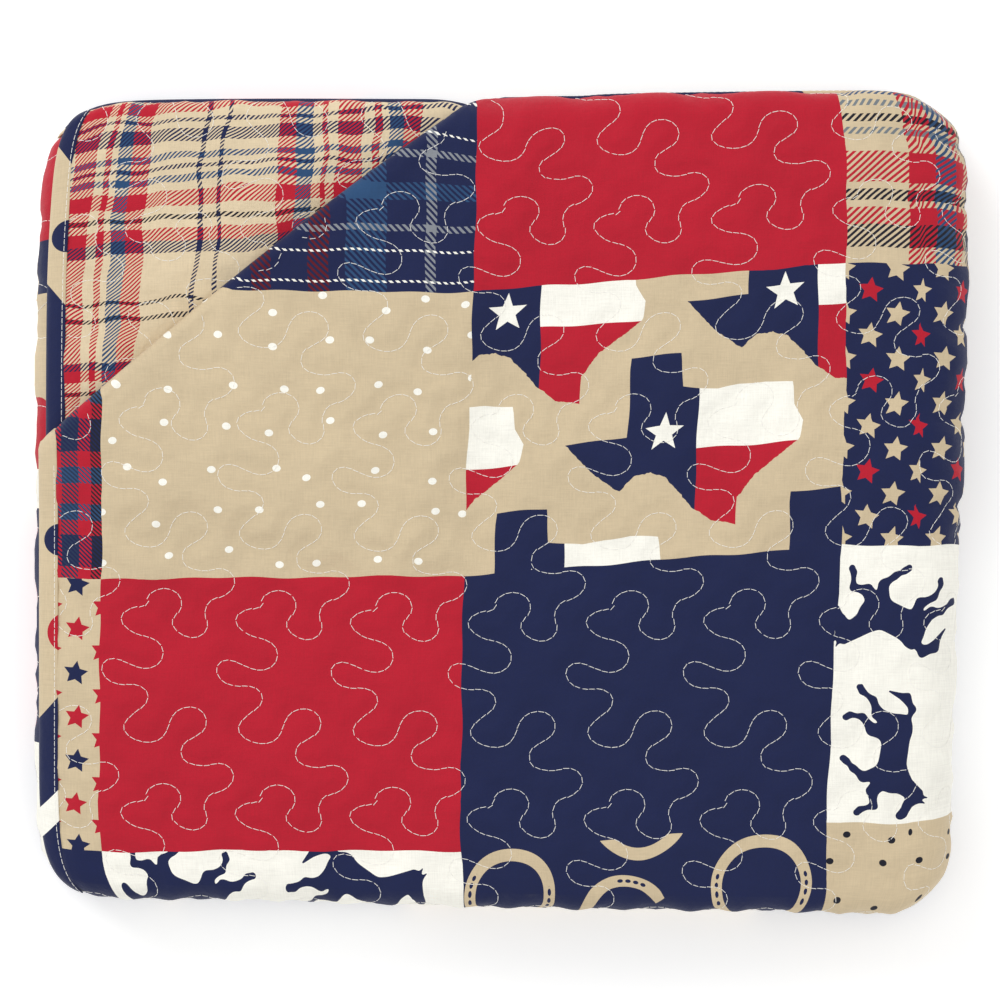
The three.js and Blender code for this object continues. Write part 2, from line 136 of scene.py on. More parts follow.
mesh = {
    "showing": 2.1,  # the pitch of the faces on the ply that shows, in mm
    "corner": 2.6,  # on the reverse where the turned corner uncovers it
    "underside": 5,
    "sides": 4.5,
    "hidden": 14,
    "turnSteps": 12,  # faces round a fold of half a turn
    "creaseSteps": 6,
    "snap": 0.1,
}

half = folding["clothThickness"] / 2
halfWidth = folding["packageWidth"] / 2
halfHeight = folding["packageHeight"] / 2
outerPlyTurn = 1.5 * folding["plyPitch"]
innerPlyTurn = folding["plyPitch"] / 2
stripTurn = folding["stripPitch"] / 2
bottomTurnAt = halfHeight - outerPlyTurn - half
flapTurnAt = halfHeight - half - folding["flapTurn"]
topTurnAt = flapTurnAt - folding["topTurnGap"]
sideTurnAt = halfWidth - stripTurn - outerPlyTurn - half
looseEdgeAt = halfWidth - folding["looseEdge"]
baseLift = folding["stripPitch"] + outerPlyTurn + half


def smooth(low, high, value):
    share = np.clip((value - low) / (high - low), 0, 1)
    return share * share * (3 - 2 * share)


# A path of straight runs and round turns. Each step is (quarter turns to the left, run or radius).
def foldPath(start, heading, steps):
    x, y = start
    travelled = 0
    legs = []
    for quarters, size in steps:
        turn = quarters * math.pi / 2
        length = abs(turn) * size if quarters else size
        legs.append((travelled, length, x, y, heading, turn, size))
        if quarters:
            side = math.copysign(size, quarters)
            x += side * (math.sin(heading + turn) - math.sin(heading))
            y -= side * (math.cos(heading + turn) - math.cos(heading))
            heading += turn
        else:
            x += size * math.cos(heading)
            y += size * math.sin(heading)
        travelled += length
    return np.array(legs)


def pathAt(legs, along, offset):
    ends = legs[:, 0] + legs[:, 1]
    leg = legs[np.minimum(np.searchsorted(ends, along), len(legs) - 1)]
    begin, length, x, y, heading, turn, size = np.moveaxis(leg, -1, 0)
    travelled = along - begin
    side = np.sign(turn) * size
    angle = heading + travelled / length * turn
    straight = turn == 0
    px = np.where(straight, x + travelled * np.cos(heading) - offset * np.sin(heading),
                  x - side * np.sin(heading) + (side - offset) * np.sin(angle))
    py = np.where(straight, y + travelled * np.sin(heading) + offset * np.cos(heading),
                  y + side * np.cos(heading) - (side - offset) * np.cos(angle))
    return px, py


flapDrop = folding["flapDrop"]
flapTurn = folding["flapTurn"]
plies = foldPath((-(flapTurnAt + flapTurn), outerPlyTurn - flapTurn - flapDrop), math.pi / 2, [
    (0, flapDrop),
    (-1, flapTurn),
    (0, flapTurnAt + bottomTurnAt),
    (-2, outerPlyTurn),
    (0, bottomTurnAt + topTurnAt),
    (-2, innerPlyTurn),
    (0, topTurnAt + bottomTurnAt),
    (2, innerPlyTurn),
    (0, bottomTurnAt + flapTurnAt),
    (1, flapTurn - folding["plyPitch"]),
    (0, flapDrop),
])
strips = foldPath((-looseEdgeAt, folding["stripPitch"]), 0, [
    (0, looseEdgeAt + sideTurnAt),
    (-2, stripTurn),
    (0, 2 * sideTurnAt),
    (2, stripTurn),
    (0, sideTurnAt + looseEdgeAt),
])
plyStops = np.append(plies[:, 0], plies[-1, 0] + plies[-1, 1])
stripStops = np.append(strips[:, 0], strips[-1, 0] + strips[-1, 1])
clothWidth = stripStops[-1]
clothLength = plyStops[-1]
topStripEnd = stripStops[1]
topPlyStart, topPlyEnd = plyStops[2], plyStops[3]
lowPlyStart, lowPlyEnd = plyStops[4], plyStops[5]
secondPlyStart = plyStops[8]

creaseLength = math.hypot(turnedCorner["across"], turnedCorner["down"])
toCorner = (-turnedCorner["down"] / creaseLength, -turnedCorner["across"] / creaseLength)
bendLength = math.pi * turnedCorner["turn"]


def pastCrease(across, down):
    return toCorner[0] * across + toCorner[1] * (down - turnedCorner["down"])


def alongCrease(across, down):
    return (-toCorner[1] * across + toCorner[0] * (down - turnedCorner["down"])) / creaseLength


# How far a point of the top ply lies outside the turned corner beneath it
def outsideTurnedCorner(across, down):
    depth = 2 * pastCrease(0, 0) - bendLength
    tip = (-depth * toCorner[0], -depth * toCorner[1])
    corners = [(0, turnedCorner["down"]), tip, (turnedCorner["across"], 0)]
    past = pastCrease(across, down)
    nearest = np.full(np.shape(across), np.inf)
    inside = past <= 0
    for (fromA, fromD), (toA, toD) in zip(corners, corners[1:]):
        edgeA, edgeD = toA - fromA, toD - fromD
        reachA, reachD = across - fromA, down - fromD
        share = np.clip((edgeA * reachA + edgeD * reachD) / (edgeA ** 2 + edgeD ** 2), 0, 1)
        nearest = np.minimum(nearest, np.hypot(reachA - share * edgeA, reachD - share * edgeD))
        inside = inside & (edgeA * reachD - edgeD * reachA <= 0)
    return np.where(inside | (past > 0), 0, nearest)


# Turns the corner of the top ply under. Height is measured above the ply's middle.
def turnCorner(across, down, height):
    turn, rise = turnedCorner["turn"], turnedCorner["rise"]
    past = pastCrease(across, down)
    outside = outsideTurnedCorner(across, down)
    lift = rise * (1 - smooth(turnedCorner["riseStart"], turnedCorner["riseEnd"], outside))
    angle = np.clip(past / turn, 0, math.pi)
    bend = (past > 0) & (past <= bendLength)
    over = past > bendLength
    shift = np.where(bend, (turn + height) * np.sin(angle) - past, 0)
    shift = np.where(over, bendLength - 2 * past, shift)
    level = np.where(bend, rise - turn + (turn + height) * np.cos(angle), height + lift)
    level = np.where(over, rise - 2 * turn - height, level)
    share = np.clip(alongCrease(across, down), 0, 1)
    fade = 1 - smooth(0, turnedCorner["riseEnd"] * 2, np.abs(past + shift))
    push = shift + 4 * turnedCorner["bow"] * share * (1 - share) * fade
    onTop = down <= topPlyEnd
    return (
        np.where(onTop, across + push * toCorner[0], across),
        np.where(onTop, down + push * toCorner[1], down),
        np.where(onTop, level, height),
    )


def dent(side, along, outward):
    dents = settling["dents"][side]
    depth = sum(deep * np.exp(-(((along - at) / wide) ** 2)) for deep, at, wide in dents)
    return depth * smooth(*settling["dentReach"], outward)


# The package as it has settled: rounded corners, edges pressed down, right side leaning in
def settle(x, y, z, onTopStrip):
    nx, ny = x / halfWidth, y / halfHeight
    ax, ay = np.abs(nx), np.abs(ny)
    power, inset = settling["cornerPower"], settling["cornerInset"]
    sx = x * (1 - inset * ay ** power * ax ** 2)
    sy = y * (1 - inset * ax ** power * ay ** 2)
    sx = sx - settling["rightLean"] * np.maximum(0, nx) * (1 - smooth(*settling["leanSpan"], ny))
    sy = sy * (1 + settling["rightGrowth"] * nx)
    edge = 1 - (1 - ax ** settling["edgePower"]) * (1 - ay ** settling["edgePower"])
    (acrossX, acrossY), (downX, downY) = settling["waveAcross"], settling["waveDown"]
    swell = np.sin(acrossX * nx + acrossY * ny) * np.cos(downY * ny - downX * nx)
    sz = z * (1 - settling["edgeDrop"] * edge + settling["waveHeight"] * swell)
    overhang = np.maximum(0, -x - sideTurnAt) / (halfWidth - sideTurnAt)
    sz = sz - np.where(onTopStrip, settling["leftDroop"] * overhang ** 2, 0)
    sx = sx + dent("left", ny, -nx) - dent("right", ny, nx)
    sy = sy + dent("bottom", nx, -ny) - dent("top", nx, ny)
    shiftX, shiftY = settling["centreShift"]
    return np.stack([sx + shiftX, sy + shiftY, sz], -1)


# How far the turned corner leaves the lowest ply of the top strip in view, from nought to one
def uncovered(across, down):
    past = pastCrease(across + folding["topPlySlip"], clothLength - down)
    onPly = (down > secondPlyStart) & (across < topStripEnd)
    return np.where(onPly, smooth(half, half + quilting["fade"], past), 0)


# Where points of the flat cloth lie in the package, in millimetres
def place(across, down, height):
    across, down, height = np.broadcast_arrays(*(np.asarray(v, float) for v in (across, down, height)))
    turnedAcross, turnedDown, level = turnCorner(across, down, height)
    downPackage, rise = pathAt(plies, turnedDown, level)
    slipSpan = folding["slipSpan"]
    slip = folding["topPlySlip"] * (1 - smooth(topPlyEnd - slipSpan, topPlyEnd + slipSpan, turnedDown))
    x, z = pathAt(strips, turnedAcross - slip, rise)
    push = settling["uncoveredPush"] * uncovered(across, down)
    y = -downPackage + push * smooth(*settling["dentReach"], -downPackage / halfHeight)
    return settle(x, y, z + baseLift, across < topStripEnd)


# The outer ply's surface is longer than the package's middle where it turns the right fold. Prints
# and quilting follow the surface.
foldStretch = (stripTurn + outerPlyTurn + half) / stripTurn
foldLength = stripStops[2] - stripStops[1]
surfaceStops = [0, stripStops[1], stripStops[1] + foldStretch * foldLength,
                clothWidth + (foldStretch - 1) * foldLength]
pathStops = [0, stripStops[1], stripStops[2], clothWidth]


def onSurface(across):
    return np.interp(across, pathStops, surfaceStops)


# Quilting: one wandering row of stitches, repeated across and down the cloth

def throughPoints(points, steps):
    points = np.array(points, float)
    before, after = np.roll(points, 1, 0), np.roll(points, -1, 0)
    beyond = np.roll(points, -2, 0)
    t = np.linspace(0, 1, steps, endpoint=False)[None, :, None]
    p0, p1, p2, p3 = (p[:, None, :] for p in (before, points, after, beyond))
    curve = 0.5 * (2 * p1 + (p2 - p0) * t + (2 * p0 - 5 * p1 + 4 * p2 - p3) * t ** 2
                   + (3 * p1 - p0 - 3 * p2 + p3) * t ** 3)
    return curve.reshape(-1, 2)


# The row of stitches through its repeats down the cloth
def rowCurve(repeats):
    steps = quilting["curveSteps"]
    chart = np.array(quilting["chart"], float)
    long = np.concatenate([chart + (0, n * quilting["rowRepeat"]) for n in repeats])
    return throughPoints(long, steps)[steps:-2 * steps]


def buildRowSearch():
    curve = rowCurve([-1, 0, 1])
    travelled = np.append(0, np.cumsum(np.hypot(*np.diff(curve, axis=0).T)))
    search = KDTree(len(curve) * 3)
    for side in (-1, 0, 1):
        for i, (across, down) in enumerate(curve):
            search.insert((across + side * quilting["rowSpacing"], down, 0), i)
    search.balance()
    return search, travelled


rowSearch, rowTravelled = buildRowSearch()


def drift(across, down):
    shares, pulls = quilting["driftHold"], [0, 0]
    for fromAcross, fromDown, *shift in quilting["drift"]:
        apart = (across - fromAcross) ** 2 + (down - fromDown) ** 2
        share = np.exp(-apart / quilting["driftReach"] ** 2)
        shares = shares + share
        pulls = [pull + share * part for pull, part in zip(pulls, shift)]
    return pulls[0] / shares, pulls[1] / shares


# The quilting's relief: puffed between the rows, drawn down along them and finely gathered
def puff(across, down):
    across = onSurface(across)
    driftAcross, driftDown = drift(across, down)
    across, down = across - driftAcross, down - driftDown
    phaseAcross, phaseDown = quilting["rowPhase"]
    spacing, repeat = quilting["rowSpacing"], quilting["rowRepeat"]
    column = (across - phaseAcross + spacing / 2) % spacing - spacing / 2
    row = (down - phaseDown) % repeat
    found = [rowSearch.find((a, d, 0)) for a, d in zip(column.ravel(), row.ravel())]
    distance = np.array([each[2] for each in found]).reshape(np.shape(across))
    travelled = rowTravelled[[each[1] for each in found]].reshape(np.shape(across))
    drawn = np.exp(-(distance / quilting["puffReach"]) ** 2)
    wobble = sum(size * np.sin(across / long + down / wide) for size, long, wide in quilting["wobble"])
    gathers = np.cos(2 * math.pi * travelled / quilting["puckerLength"] + wobble)
    near = np.exp(-(distance / quilting["puckerReach"]) ** 2)
    return quilting["puffHeight"] * (0.5 - drawn) + quilting["pucker"] * gathers * near


def between(value, low, high, fade):
    return smooth(low - fade, low, value) * (1 - smooth(high, high + fade, value))


# The front's relief shows on the top ply, round the outer folds and, drawn inwards, underneath
def frontRelief(across, down):
    fade, margin = quilting["fade"], quilting["foldMargin"]
    topFade, bottomFade, leftFade = quilting["foldFades"]
    onTop = between(down, 0, lowPlyStart - margin, topFade)
    onTop = onTop * between(across, 0, stripStops[2] - margin, topFade)
    onTop = onTop * (1 - smooth(-half, 0, pastCrease(across, down)))
    roundBottom = between(down, topPlyEnd, lowPlyStart - margin, bottomFade)
    roundLeft = between(down, lowPlyStart, lowPlyEnd - fade, bottomFade)
    roundLeft = roundLeft * between(across, stripStops[3], stripStops[4], leftFade)
    shows = np.maximum(np.maximum(onTop, roundBottom), roundLeft)
    below = between(down, lowPlyStart + fade, lowPlyEnd - fade, fade) * smooth(
        stripStops[4] + fade, stripStops[4] + 2 * fade, across)
    relief = np.zeros(np.shape(across))
    wanted = (shows > 0) | (below > 0)
    bumps = puff(across[wanted], down[wanted])
    sunken = np.minimum(0, bumps - quilting["puffHeight"] / 2)
    relief[wanted] = np.where(shows[wanted] > 0, shows[wanted] * bumps, below[wanted] * sunken)
    return relief


def reverseRelief(across, down):
    shows = uncovered(across, down)
    wanted = shows > 0
    relief = np.zeros(np.shape(across))
    relief[wanted] = quilting["reverseShare"] * shows[wanted] * puff(across[wanted], down[wanted])
    return relief


# The printed patchwork: one piece of cloth printed with four columns and four rows of patches

patchwork = {
    "width": 168,  # one printed patch, in mm
    "height": 127.5,
    "wavy": 0.3,  # how far the printed edges wander
    "wavesAcross": (13, 5.3, 40),  # a long and a short wave, and how slowly the short one leans
    "wavesDown": (11, 4.7, 40),
    "lowerShift": 27,  # how far the print of the lower plies lies from where it would fall
    "lowerSpan": 150,
    # places along each printed seam of the top ply, seen from above
    "columnSeams": {
        1: [(-181.5, 38), (-182, -36), (-181.5, -160.5)],
        2: [(-9.8, 180), (-12, 95), (-16.7, -34.5), (-17.6, -160)],
        3: [(155.5, 180), (158, 108), (155.5, -20.6), (149, -147)],
    },
    "rowSeams": {
        1: [(-114.6, 95.5), (-12, 95), (158, 108)],
        2: [(-182, -36), (-16.7, -34.5), (155.5, -20.6)],
        3: [(-181.5, -160.5), (-17.6, -160), (149, -147)],
    },
}


# The flat cloth under a place of the top ply, seen from above
def flatUnder(x, y):
    across, down = x + looseEdgeAt, topPlyStart + flapTurnAt - y
    for _ in range(8):
        seenX, seenY, _z = place(across, down, half)
        across, down = across + x - seenX, down - (y - seenY)
    return float(across), float(down)


# Each seam as a list of places: how far along the cloth, then the seam's own place across it
def flatSeams(seams, along):
    flat = {}
    for n, places in seams.items():
        found = [flatUnder(*place) for place in places]
        onCloth = [(float(onSurface(across)), down) for across, down in found]
        flat[n] = sorted((point[along], point[1 - along]) for point in onCloth)
    return flat


columnSeams = flatSeams(patchwork["columnSeams"], 1)
rowSeams = flatSeams(patchwork["rowSeams"], 0)


# A count of patches across or down, from the seams that lie either side
def countPatches(value, other, seams, size):
    numbers = sorted(seams)
    places = [np.interp(other, *np.array(seams[n]).T) for n in numbers]
    places = [places[0] - size] + places + [places[-1] + size]
    numbers = [numbers[0] - 1] + numbers + [numbers[-1] + 1]
    count = numbers[0] + (value - places[0]) / size
    for number, low, high in zip(numbers, places, places[1:]):
        count = np.where(value >= low, number + (value - low) / (high - low), count)
    return np.where(value >= places[-1], numbers[-1] + (value - places[-1]) / size, count)


def printedWave(along, aside, waves):
    long, short, lean = waves
    return patchwork["wavy"] * (np.sin(along / long) + np.sin(along / short + aside / lean))


# Where a point of the flat cloth lies in the print, counted in patches across and down
def printAt(across, down):
    across = onSurface(across)
    lower = smooth(lowPlyStart, lowPlyStart + patchwork["lowerSpan"], down)
    down = down + patchwork["lowerShift"] * lower
    acrossWave = printedWave(down, across, patchwork["wavesAcross"])
    downWave = printedWave(across, down, patchwork["wavesDown"])
    return (
        countPatches(across + acrossWave, down, columnSeams, patchwork["width"]),
        countPatches(down + downWave, across, rowSeams, patchwork["height"]),
    )


# Patches of the flat cloth, as lists of corners, joined into a closed shell

def evenStops(low, high, pitch):
    return np.linspace(low, high, max(1, round((high - low) / pitch)) + 1)


def cells(acrossStops, downStops):
    found = []
    for a0, a1 in zip(acrossStops, acrossStops[1:]):
        for d0, d1 in zip(downStops, downStops[1:]):
            found.append([(a0, d0), (a1, d0), (a1, d1), (a0, d1)])
    return found


# Cuts the patches that a line of the cloth crosses. The field is nought on the line.
def splitPatches(patches, field):
    sizes = [len(patch) for patch in patches]
    corners = np.array([point for patch in patches for point in patch])
    values = field(corners[:, 0], corners[:, 1])
    values[np.abs(values) < mesh["snap"]] = 0
    starts = np.concatenate([[0], np.cumsum(sizes)[:-1]])
    lows, highs = np.minimum.reduceat(values, starts), np.maximum.reduceat(values, starts)
    kept = []
    for patch, start, low, high in zip(patches, starts, lows, highs):
        if low >= 0 or high <= 0:
            kept.append(patch)
            continue
        near, far = [], []
        for i, point in enumerate(patch):
            j = (i + 1) % len(patch)
            here, there = values[start + i], values[start + j]
            if here <= 0:
                near.append(point)
            if here >= 0:
                far.append(point)
            if here * there < 0:
                share = here / (here - there)
                cut = tuple(point[k] + share * (patch[j][k] - point[k]) for k in (0, 1))
                near.append(cut)
                far.append(cut)
        kept.extend(each for each in (near, far) if len(each) > 2)
    return kept


def key(point):
    return round(point[0] * 1000), round(point[1] * 1000)


# Adds to each patch the corners of its neighbours that lie on its sides
def shareCorners(patches, corners, lines):
    onLine = {}
    for point in corners:
        rounded = key(point)
        for axis in (0, 1):
            if rounded[axis] in lines[axis]:
                onLine.setdefault((axis, rounded[axis]), {})[rounded[1 - axis]] = point
    ordered = {line: (sorted(found), found) for line, found in onLine.items()}
    shared = []
    for patch in patches:
        keys = [key(point) for point in patch]
        full = []
        for i, point in enumerate(patch):
            full.append(point)
            here, there = keys[i], keys[(i + 1) % len(patch)]
            for axis in (0, 1):
                if here[axis] != there[axis] or here[axis] not in lines[axis]:
                    continue
                places, found = ordered[(axis, here[axis])]
                low, high = sorted((here[1 - axis], there[1 - axis]))
                first, last = np.searchsorted(places, [low + 2, high - 1])
                inner = [found[p] for p in places[first:last]]
                full.extend(inner if there[1 - axis] > here[1 - axis] else inner[::-1])
        shared.append(full)
    return shared


def openSides(patches):
    sides = {}
    for patch in patches:
        for point, following in zip(patch, patch[1:] + patch[:1]):
            there, back = (key(point), key(following)), (key(following), key(point))
            if back in sides:
                del sides[back]
            else:
                sides[there] = (point, following)
    return list(sides.values())


# The blocks of the cloth between its folds, each with the pitch of its faces across and down
def quiltCells(pitchOf, inset):
    acrossStops = np.clip(stripStops, inset, clothWidth - inset)
    downStops = np.clip(plyStops, inset, clothLength - inset * binding["endShare"])
    patches = []
    for i, (left, right) in enumerate(zip(acrossStops, acrossStops[1:])):
        for j, (top, bottom) in enumerate(zip(downStops, downStops[1:])):
            if right - left < 0.01 or bottom - top < 0.01:
                continue
            across, down = pitchOf(i, j)
            patches.extend(cells(evenStops(left, right, across), evenStops(top, bottom, down)))
    return patches


def turnPitch(leg):
    return leg[1] / max(3, round(abs(leg[5]) / math.pi * mesh["turnSteps"]))


def frontPitch(i, j):
    across = turnPitch(strips[i]) if i % 2 else mesh["hidden"]
    down = turnPitch(plies[j]) if plies[j][5] else mesh["hidden"]
    if i == 0 and j <= 3:
        across = mesh["showing"]
    if i == 1 and j <= 3 or i == 0 and j == 2:
        down = min(down, mesh["showing"])
    if i in (2, 4) and j in (1, 3):
        across = mesh["sides"]
    if i == 3 and j in (3, 4):
        down = min(down, mesh["sides"])
    if i == 4 and j == 4:
        across = down = mesh["underside"]
    return across, down


def reversePitch(i, j):
    across = turnPitch(strips[i]) if i % 2 else mesh["hidden"]
    down = turnPitch(plies[j]) if plies[j][5] else mesh["hidden"]
    if i == 0 and j >= 8:
        across = mesh["corner"]
        down = min(down, mesh["corner"])
    return across, down


def creaseLines():
    bends = np.linspace(0, bendLength, mesh["creaseSteps"] + 1)
    return [lambda a, d, bend=bend: np.where(d > topPlyEnd, 1, pastCrease(a, d) - bend) for bend in bends]


# The printed seams, each as a field that is nought on it and grows by about one for each millimetre
def seamLines():
    counts = printAt(np.array([0, clothWidth]), np.array([0, clothLength]))
    lines = []
    for axis, count in enumerate(counts):
        for n in range(math.floor(count.min()) - 1, math.ceil(count.max()) + 2):
            lines.append(lambda a, d, axis=axis, n=n: (printAt(a, d)[axis] - n) * 100)
    return lines


def flatLines(inset):
    across = {round(v * 1000) for v in np.clip(stripStops, inset, clothWidth - inset)}
    down = {round(v * 1000) for v in np.clip(plyStops, inset, clothLength - inset * binding["endShare"])}
    return across, down


def makeMesh(name, places, faces, faceMaterials, materials, maps):
    places[:, 2] = np.maximum(places[:, 2], 0)  # the underside lies flat
    data = bpy.data.meshes.new(name)
    data.from_pydata(places, [], faces)
    for material in materials:
        data.materials.append(material)
    data.polygons.foreach_set("material_index", np.array(faceMaterials, np.int32))
    data.polygons.foreach_set("use_smooth", np.ones(len(faces), bool))
    for mapName, values in maps.items():
        layer = data.uv_layers.new(name=mapName)
        layer.uv.foreach_set("vector", np.asarray(values, np.float32).ravel())
    data.update()
    piece = bpy.data.objects.new(name, data)
    bpy.context.scene.collection.objects.link(piece)
    return piece


# Materials and prints

def plainMaterial(name, colour):
    material = bpy.data.materials.new(name)
    material.use_nodes = True
    shader = material.node_tree.nodes["Principled BSDF"]
    shader.inputs["Base Color"].default_value = (*colour, 1)
    shader.inputs["Roughness"].default_value = 0.85
    return material


# Colours of the inks and threads, as the eye sees them
inks = {
    "red": (186, 24, 46),
    "navy": (24, 33, 74),
    "tan": (210, 191, 158),
    "cream": (222, 203, 170),  # the ground of the reverse
    "white": (252, 250, 240),
    "blue": (42, 76, 116),
    "slate": (34, 50, 80),
    "darkRed": (96, 16, 30),
    "grey": (118, 126, 132),
    "pale": (136, 140, 147),
    "black": (26, 27, 40),
    "thread": (250, 248, 243),
}


def ink(name):
    return tuple(((v / 255 + 0.055) / 1.055) ** 2.4 for v in inks[name]) + (1,)


def join(tree, value, socket):
    if isinstance(value, bpy.types.NodeSocket):
        tree.links.new(value, socket)
    else:
        socket.default_value = value


def addNode(tree, kind, inputs, **settings):
    made = tree.nodes.new(kind)
    for name, value in settings.items():
        setattr(made, name, value)
    for name, value in inputs.items():
        join(tree, value, made.inputs[name])
    return made


def calc(tree, operation, *values):
    return addNode(tree, "ShaderNodeMath", dict(enumerate(values)), operation=operation).outputs[0]


def onVector(tree, operation, *values):
    inputs = {0: values[0], "Scale": values[1]} if operation == "SCALE" else dict(enumerate(values))
    made = addNode(tree, "ShaderNodeVectorMath", inputs, operation=operation)
    isNumber = operation in ("LENGTH", "DISTANCE", "DOT_PRODUCT")
    return made.outputs["Value" if isNumber else "Vector"]


def blend(tree, share, first, second):
    made = addNode(tree, "ShaderNodeMix", {}, data_type="RGBA")
    for value, i in ((share, 0), (first, 6), (second, 7)):
        join(tree, value, made.inputs[i])
    return made.outputs[2]


def split(tree, place):
    return addNode(tree, "ShaderNodeSeparateXYZ", {0: place}).outputs[:2]


def together(tree, x, y):
    return addNode(tree, "ShaderNodeCombineXYZ", {0: x, 1: y}).outputs[0]


# How far a value lies from the middle of its cell, where equal cells are counted from nought
def fromMiddle(tree, value, cell, size):
    return calc(tree, "MULTIPLY_ADD", calc(tree, "ADD", cell, 0.5), -size, value)


def noise(tree, place, scale, detail):
    inputs = {"Vector": place, "Scale": scale, "Detail": detail}
    return addNode(tree, "ShaderNodeTexNoise", inputs, noise_dimensions="2D").outputs["Fac"]


def turned(tree, place, angle):
    inputs = {"Vector": place, "Angle": angle}
    return addNode(tree, "ShaderNodeVectorRotate", inputs, rotation_type="Z_AXIS").outputs[0]


def newGroup(name, inputs, outputs):
    tree = bpy.data.node_groups.new(name, "ShaderNodeTree")
    for direction, sockets in (("INPUT", inputs), ("OUTPUT", outputs)):
        for socketName, kind in sockets.items():
            tree.interface.new_socket(socketName, in_out=direction, socket_type="NodeSocket" + kind)
    return tree, tree.nodes.new("NodeGroupInput").outputs, tree.nodes.new("NodeGroupOutput").inputs


def useGroup(tree, group, **inputs):
    return addNode(tree, "ShaderNodeGroup", inputs, node_tree=group).outputs


# Woven cotton: fine threads, slubs that lie along and across the cloth, and a soft crumple
weave = {
    "thread": 0.36,
    "slub": 0.15,
    "slubScale": (0.11, 2.4),  # along a slub and across it
    "slubShare": 1.1,
    "blotchScale": 0.028,
    "roughness": (0.12, 0.82),  # how far slubs change it, and its middle
    "crumple": 1.1,
    "crumpleScale": 0.16,
    "heights": (0.03, 0.06),  # of threads and slubs
    "bump": 0.6,
}


def cottonGroup():
    tree, given, wanted = newGroup(
        "wovenCotton",
        {"Cloth": "Vector", "Colour": "Color", "Thread": "Float", "Slub": "Float", "Crumple": "Float"},
        {"Colour": "Color", "Roughness": "Float", "Height": "Float"},
    )
    long, wide = weave["slubScale"]
    wave = calc(tree, "DIVIDE", given["Thread"], math.tau)
    threads = [calc(tree, "SINE", calc(tree, "DIVIDE", way, wave)) for way in split(tree, given["Cloth"])]
    across = noise(tree, onVector(tree, "MULTIPLY", given["Cloth"], (long, wide, 0)), 1, 2)
    down = noise(tree, onVector(tree, "MULTIPLY", given["Cloth"], (wide, long, 0)), 1, 2)
    blotch = noise(tree, given["Cloth"], weave["blotchScale"], 3)
    slubs = calc(tree, "ADD", calc(tree, "ADD", across, down), -1)
    cloudy = calc(tree, "MULTIPLY_ADD", slubs, weave["slubShare"], calc(tree, "SUBTRACT", blotch, 0.5))
    light = calc(tree, "MULTIPLY_ADD", cloudy, given["Slub"], 1)
    join(tree, onVector(tree, "SCALE", given["Colour"], light), wanted["Colour"])
    join(tree, calc(tree, "MULTIPLY_ADD", slubs, *weave["roughness"]), wanted["Roughness"])
    creases = noise(tree, given["Cloth"], weave["crumpleScale"], 4)
    crumple = calc(tree, "MULTIPLY", creases, given["Crumple"])
    threadHeight, slubHeight = weave["heights"]
    woven = calc(tree, "MULTIPLY_ADD", calc(tree, "MULTIPLY", *threads), threadHeight,
                 calc(tree, "MULTIPLY", slubs, slubHeight))
    join(tree, calc(tree, "ADD", woven, crumple), wanted["Height"])
    return tree


# A five-pointed star whose first point is down the cloth
def starGroup():
    tree, given, wanted = newGroup(
        "fivePointStar", {"Place": "Vector", "Radius": "Float", "Waist": "Float", "Turn": "Float"},
        {"Inside": "Float"})
    x, y = split(tree, given["Place"])
    angle = calc(tree, "ADD", calc(tree, "ARCTAN2", x, y), given["Turn"])
    folded = calc(tree, "PINGPONG", angle, math.pi / 5)
    reach = onVector(tree, "LENGTH", given["Place"])
    notchX = calc(tree, "MULTIPLY", given["Waist"], math.cos(math.pi / 5))
    notchY = calc(tree, "MULTIPLY", given["Waist"], math.sin(math.pi / 5))
    along = calc(tree, "MULTIPLY", calc(tree, "MULTIPLY", reach, calc(tree, "COSINE", folded)), notchY)
    aside = calc(tree, "MULTIPLY", reach, calc(tree, "SINE", folded))
    edge = calc(tree, "MULTIPLY_ADD", aside, calc(tree, "SUBTRACT", 1, notchX), along)
    limit = calc(tree, "MULTIPLY", given["Radius"], notchY)
    join(tree, calc(tree, "LESS_THAN", edge, limit), wanted["Inside"])
    return tree


# Stars in staggered columns. Every other column carries the accent, turn and turn about.
stars = {
    "columnPitch": 12.3,
    "rowPitch": 20.4,
    "waist": 0.5,
    "turn": 3.3,
    # for each print: where its repeat starts, a star's radius, then the ground, the stars and the accent
    "navyStars": ((-5.1, 18.2), 5.9, "navy", "tan", "red"),
    "tanStars": ((-3.6, 27.9), 5.8, "tan", "red", "navy"),
}


def starFieldGroup(star):
    tree, given, wanted = newGroup(
        "starField", {"Place": "Vector", "Radius": "Float", "Turn": "Float"},
        {"Inside": "Float", "Accent": "Float"})
    wide, high = stars["columnPitch"], stars["rowPitch"]
    x, y = split(tree, given["Place"])
    column = calc(tree, "FLOOR", calc(tree, "DIVIDE", x, wide))
    odd = calc(tree, "FLOORED_MODULO", column, 2)
    staggered = calc(tree, "MULTIPLY_ADD", odd, high / 2, y)
    row = calc(tree, "FLOOR", calc(tree, "DIVIDE", staggered, high))
    inCell = together(tree, fromMiddle(tree, x, column, wide), fromMiddle(tree, staggered, row, high))
    inside = useGroup(tree, star, Place=inCell, Radius=given["Radius"], Waist=stars["waist"],
                      Turn=given["Turn"])["Inside"]
    pair = calc(tree, "ADD", row, calc(tree, "FLOOR", calc(tree, "DIVIDE", column, 2)))
    accent = calc(tree, "MULTIPLY", calc(tree, "FLOORED_MODULO", pair, 2), calc(tree, "SUBTRACT", 1, odd))
    join(tree, inside, wanted["Inside"])
    join(tree, accent, wanted["Accent"])
    return tree


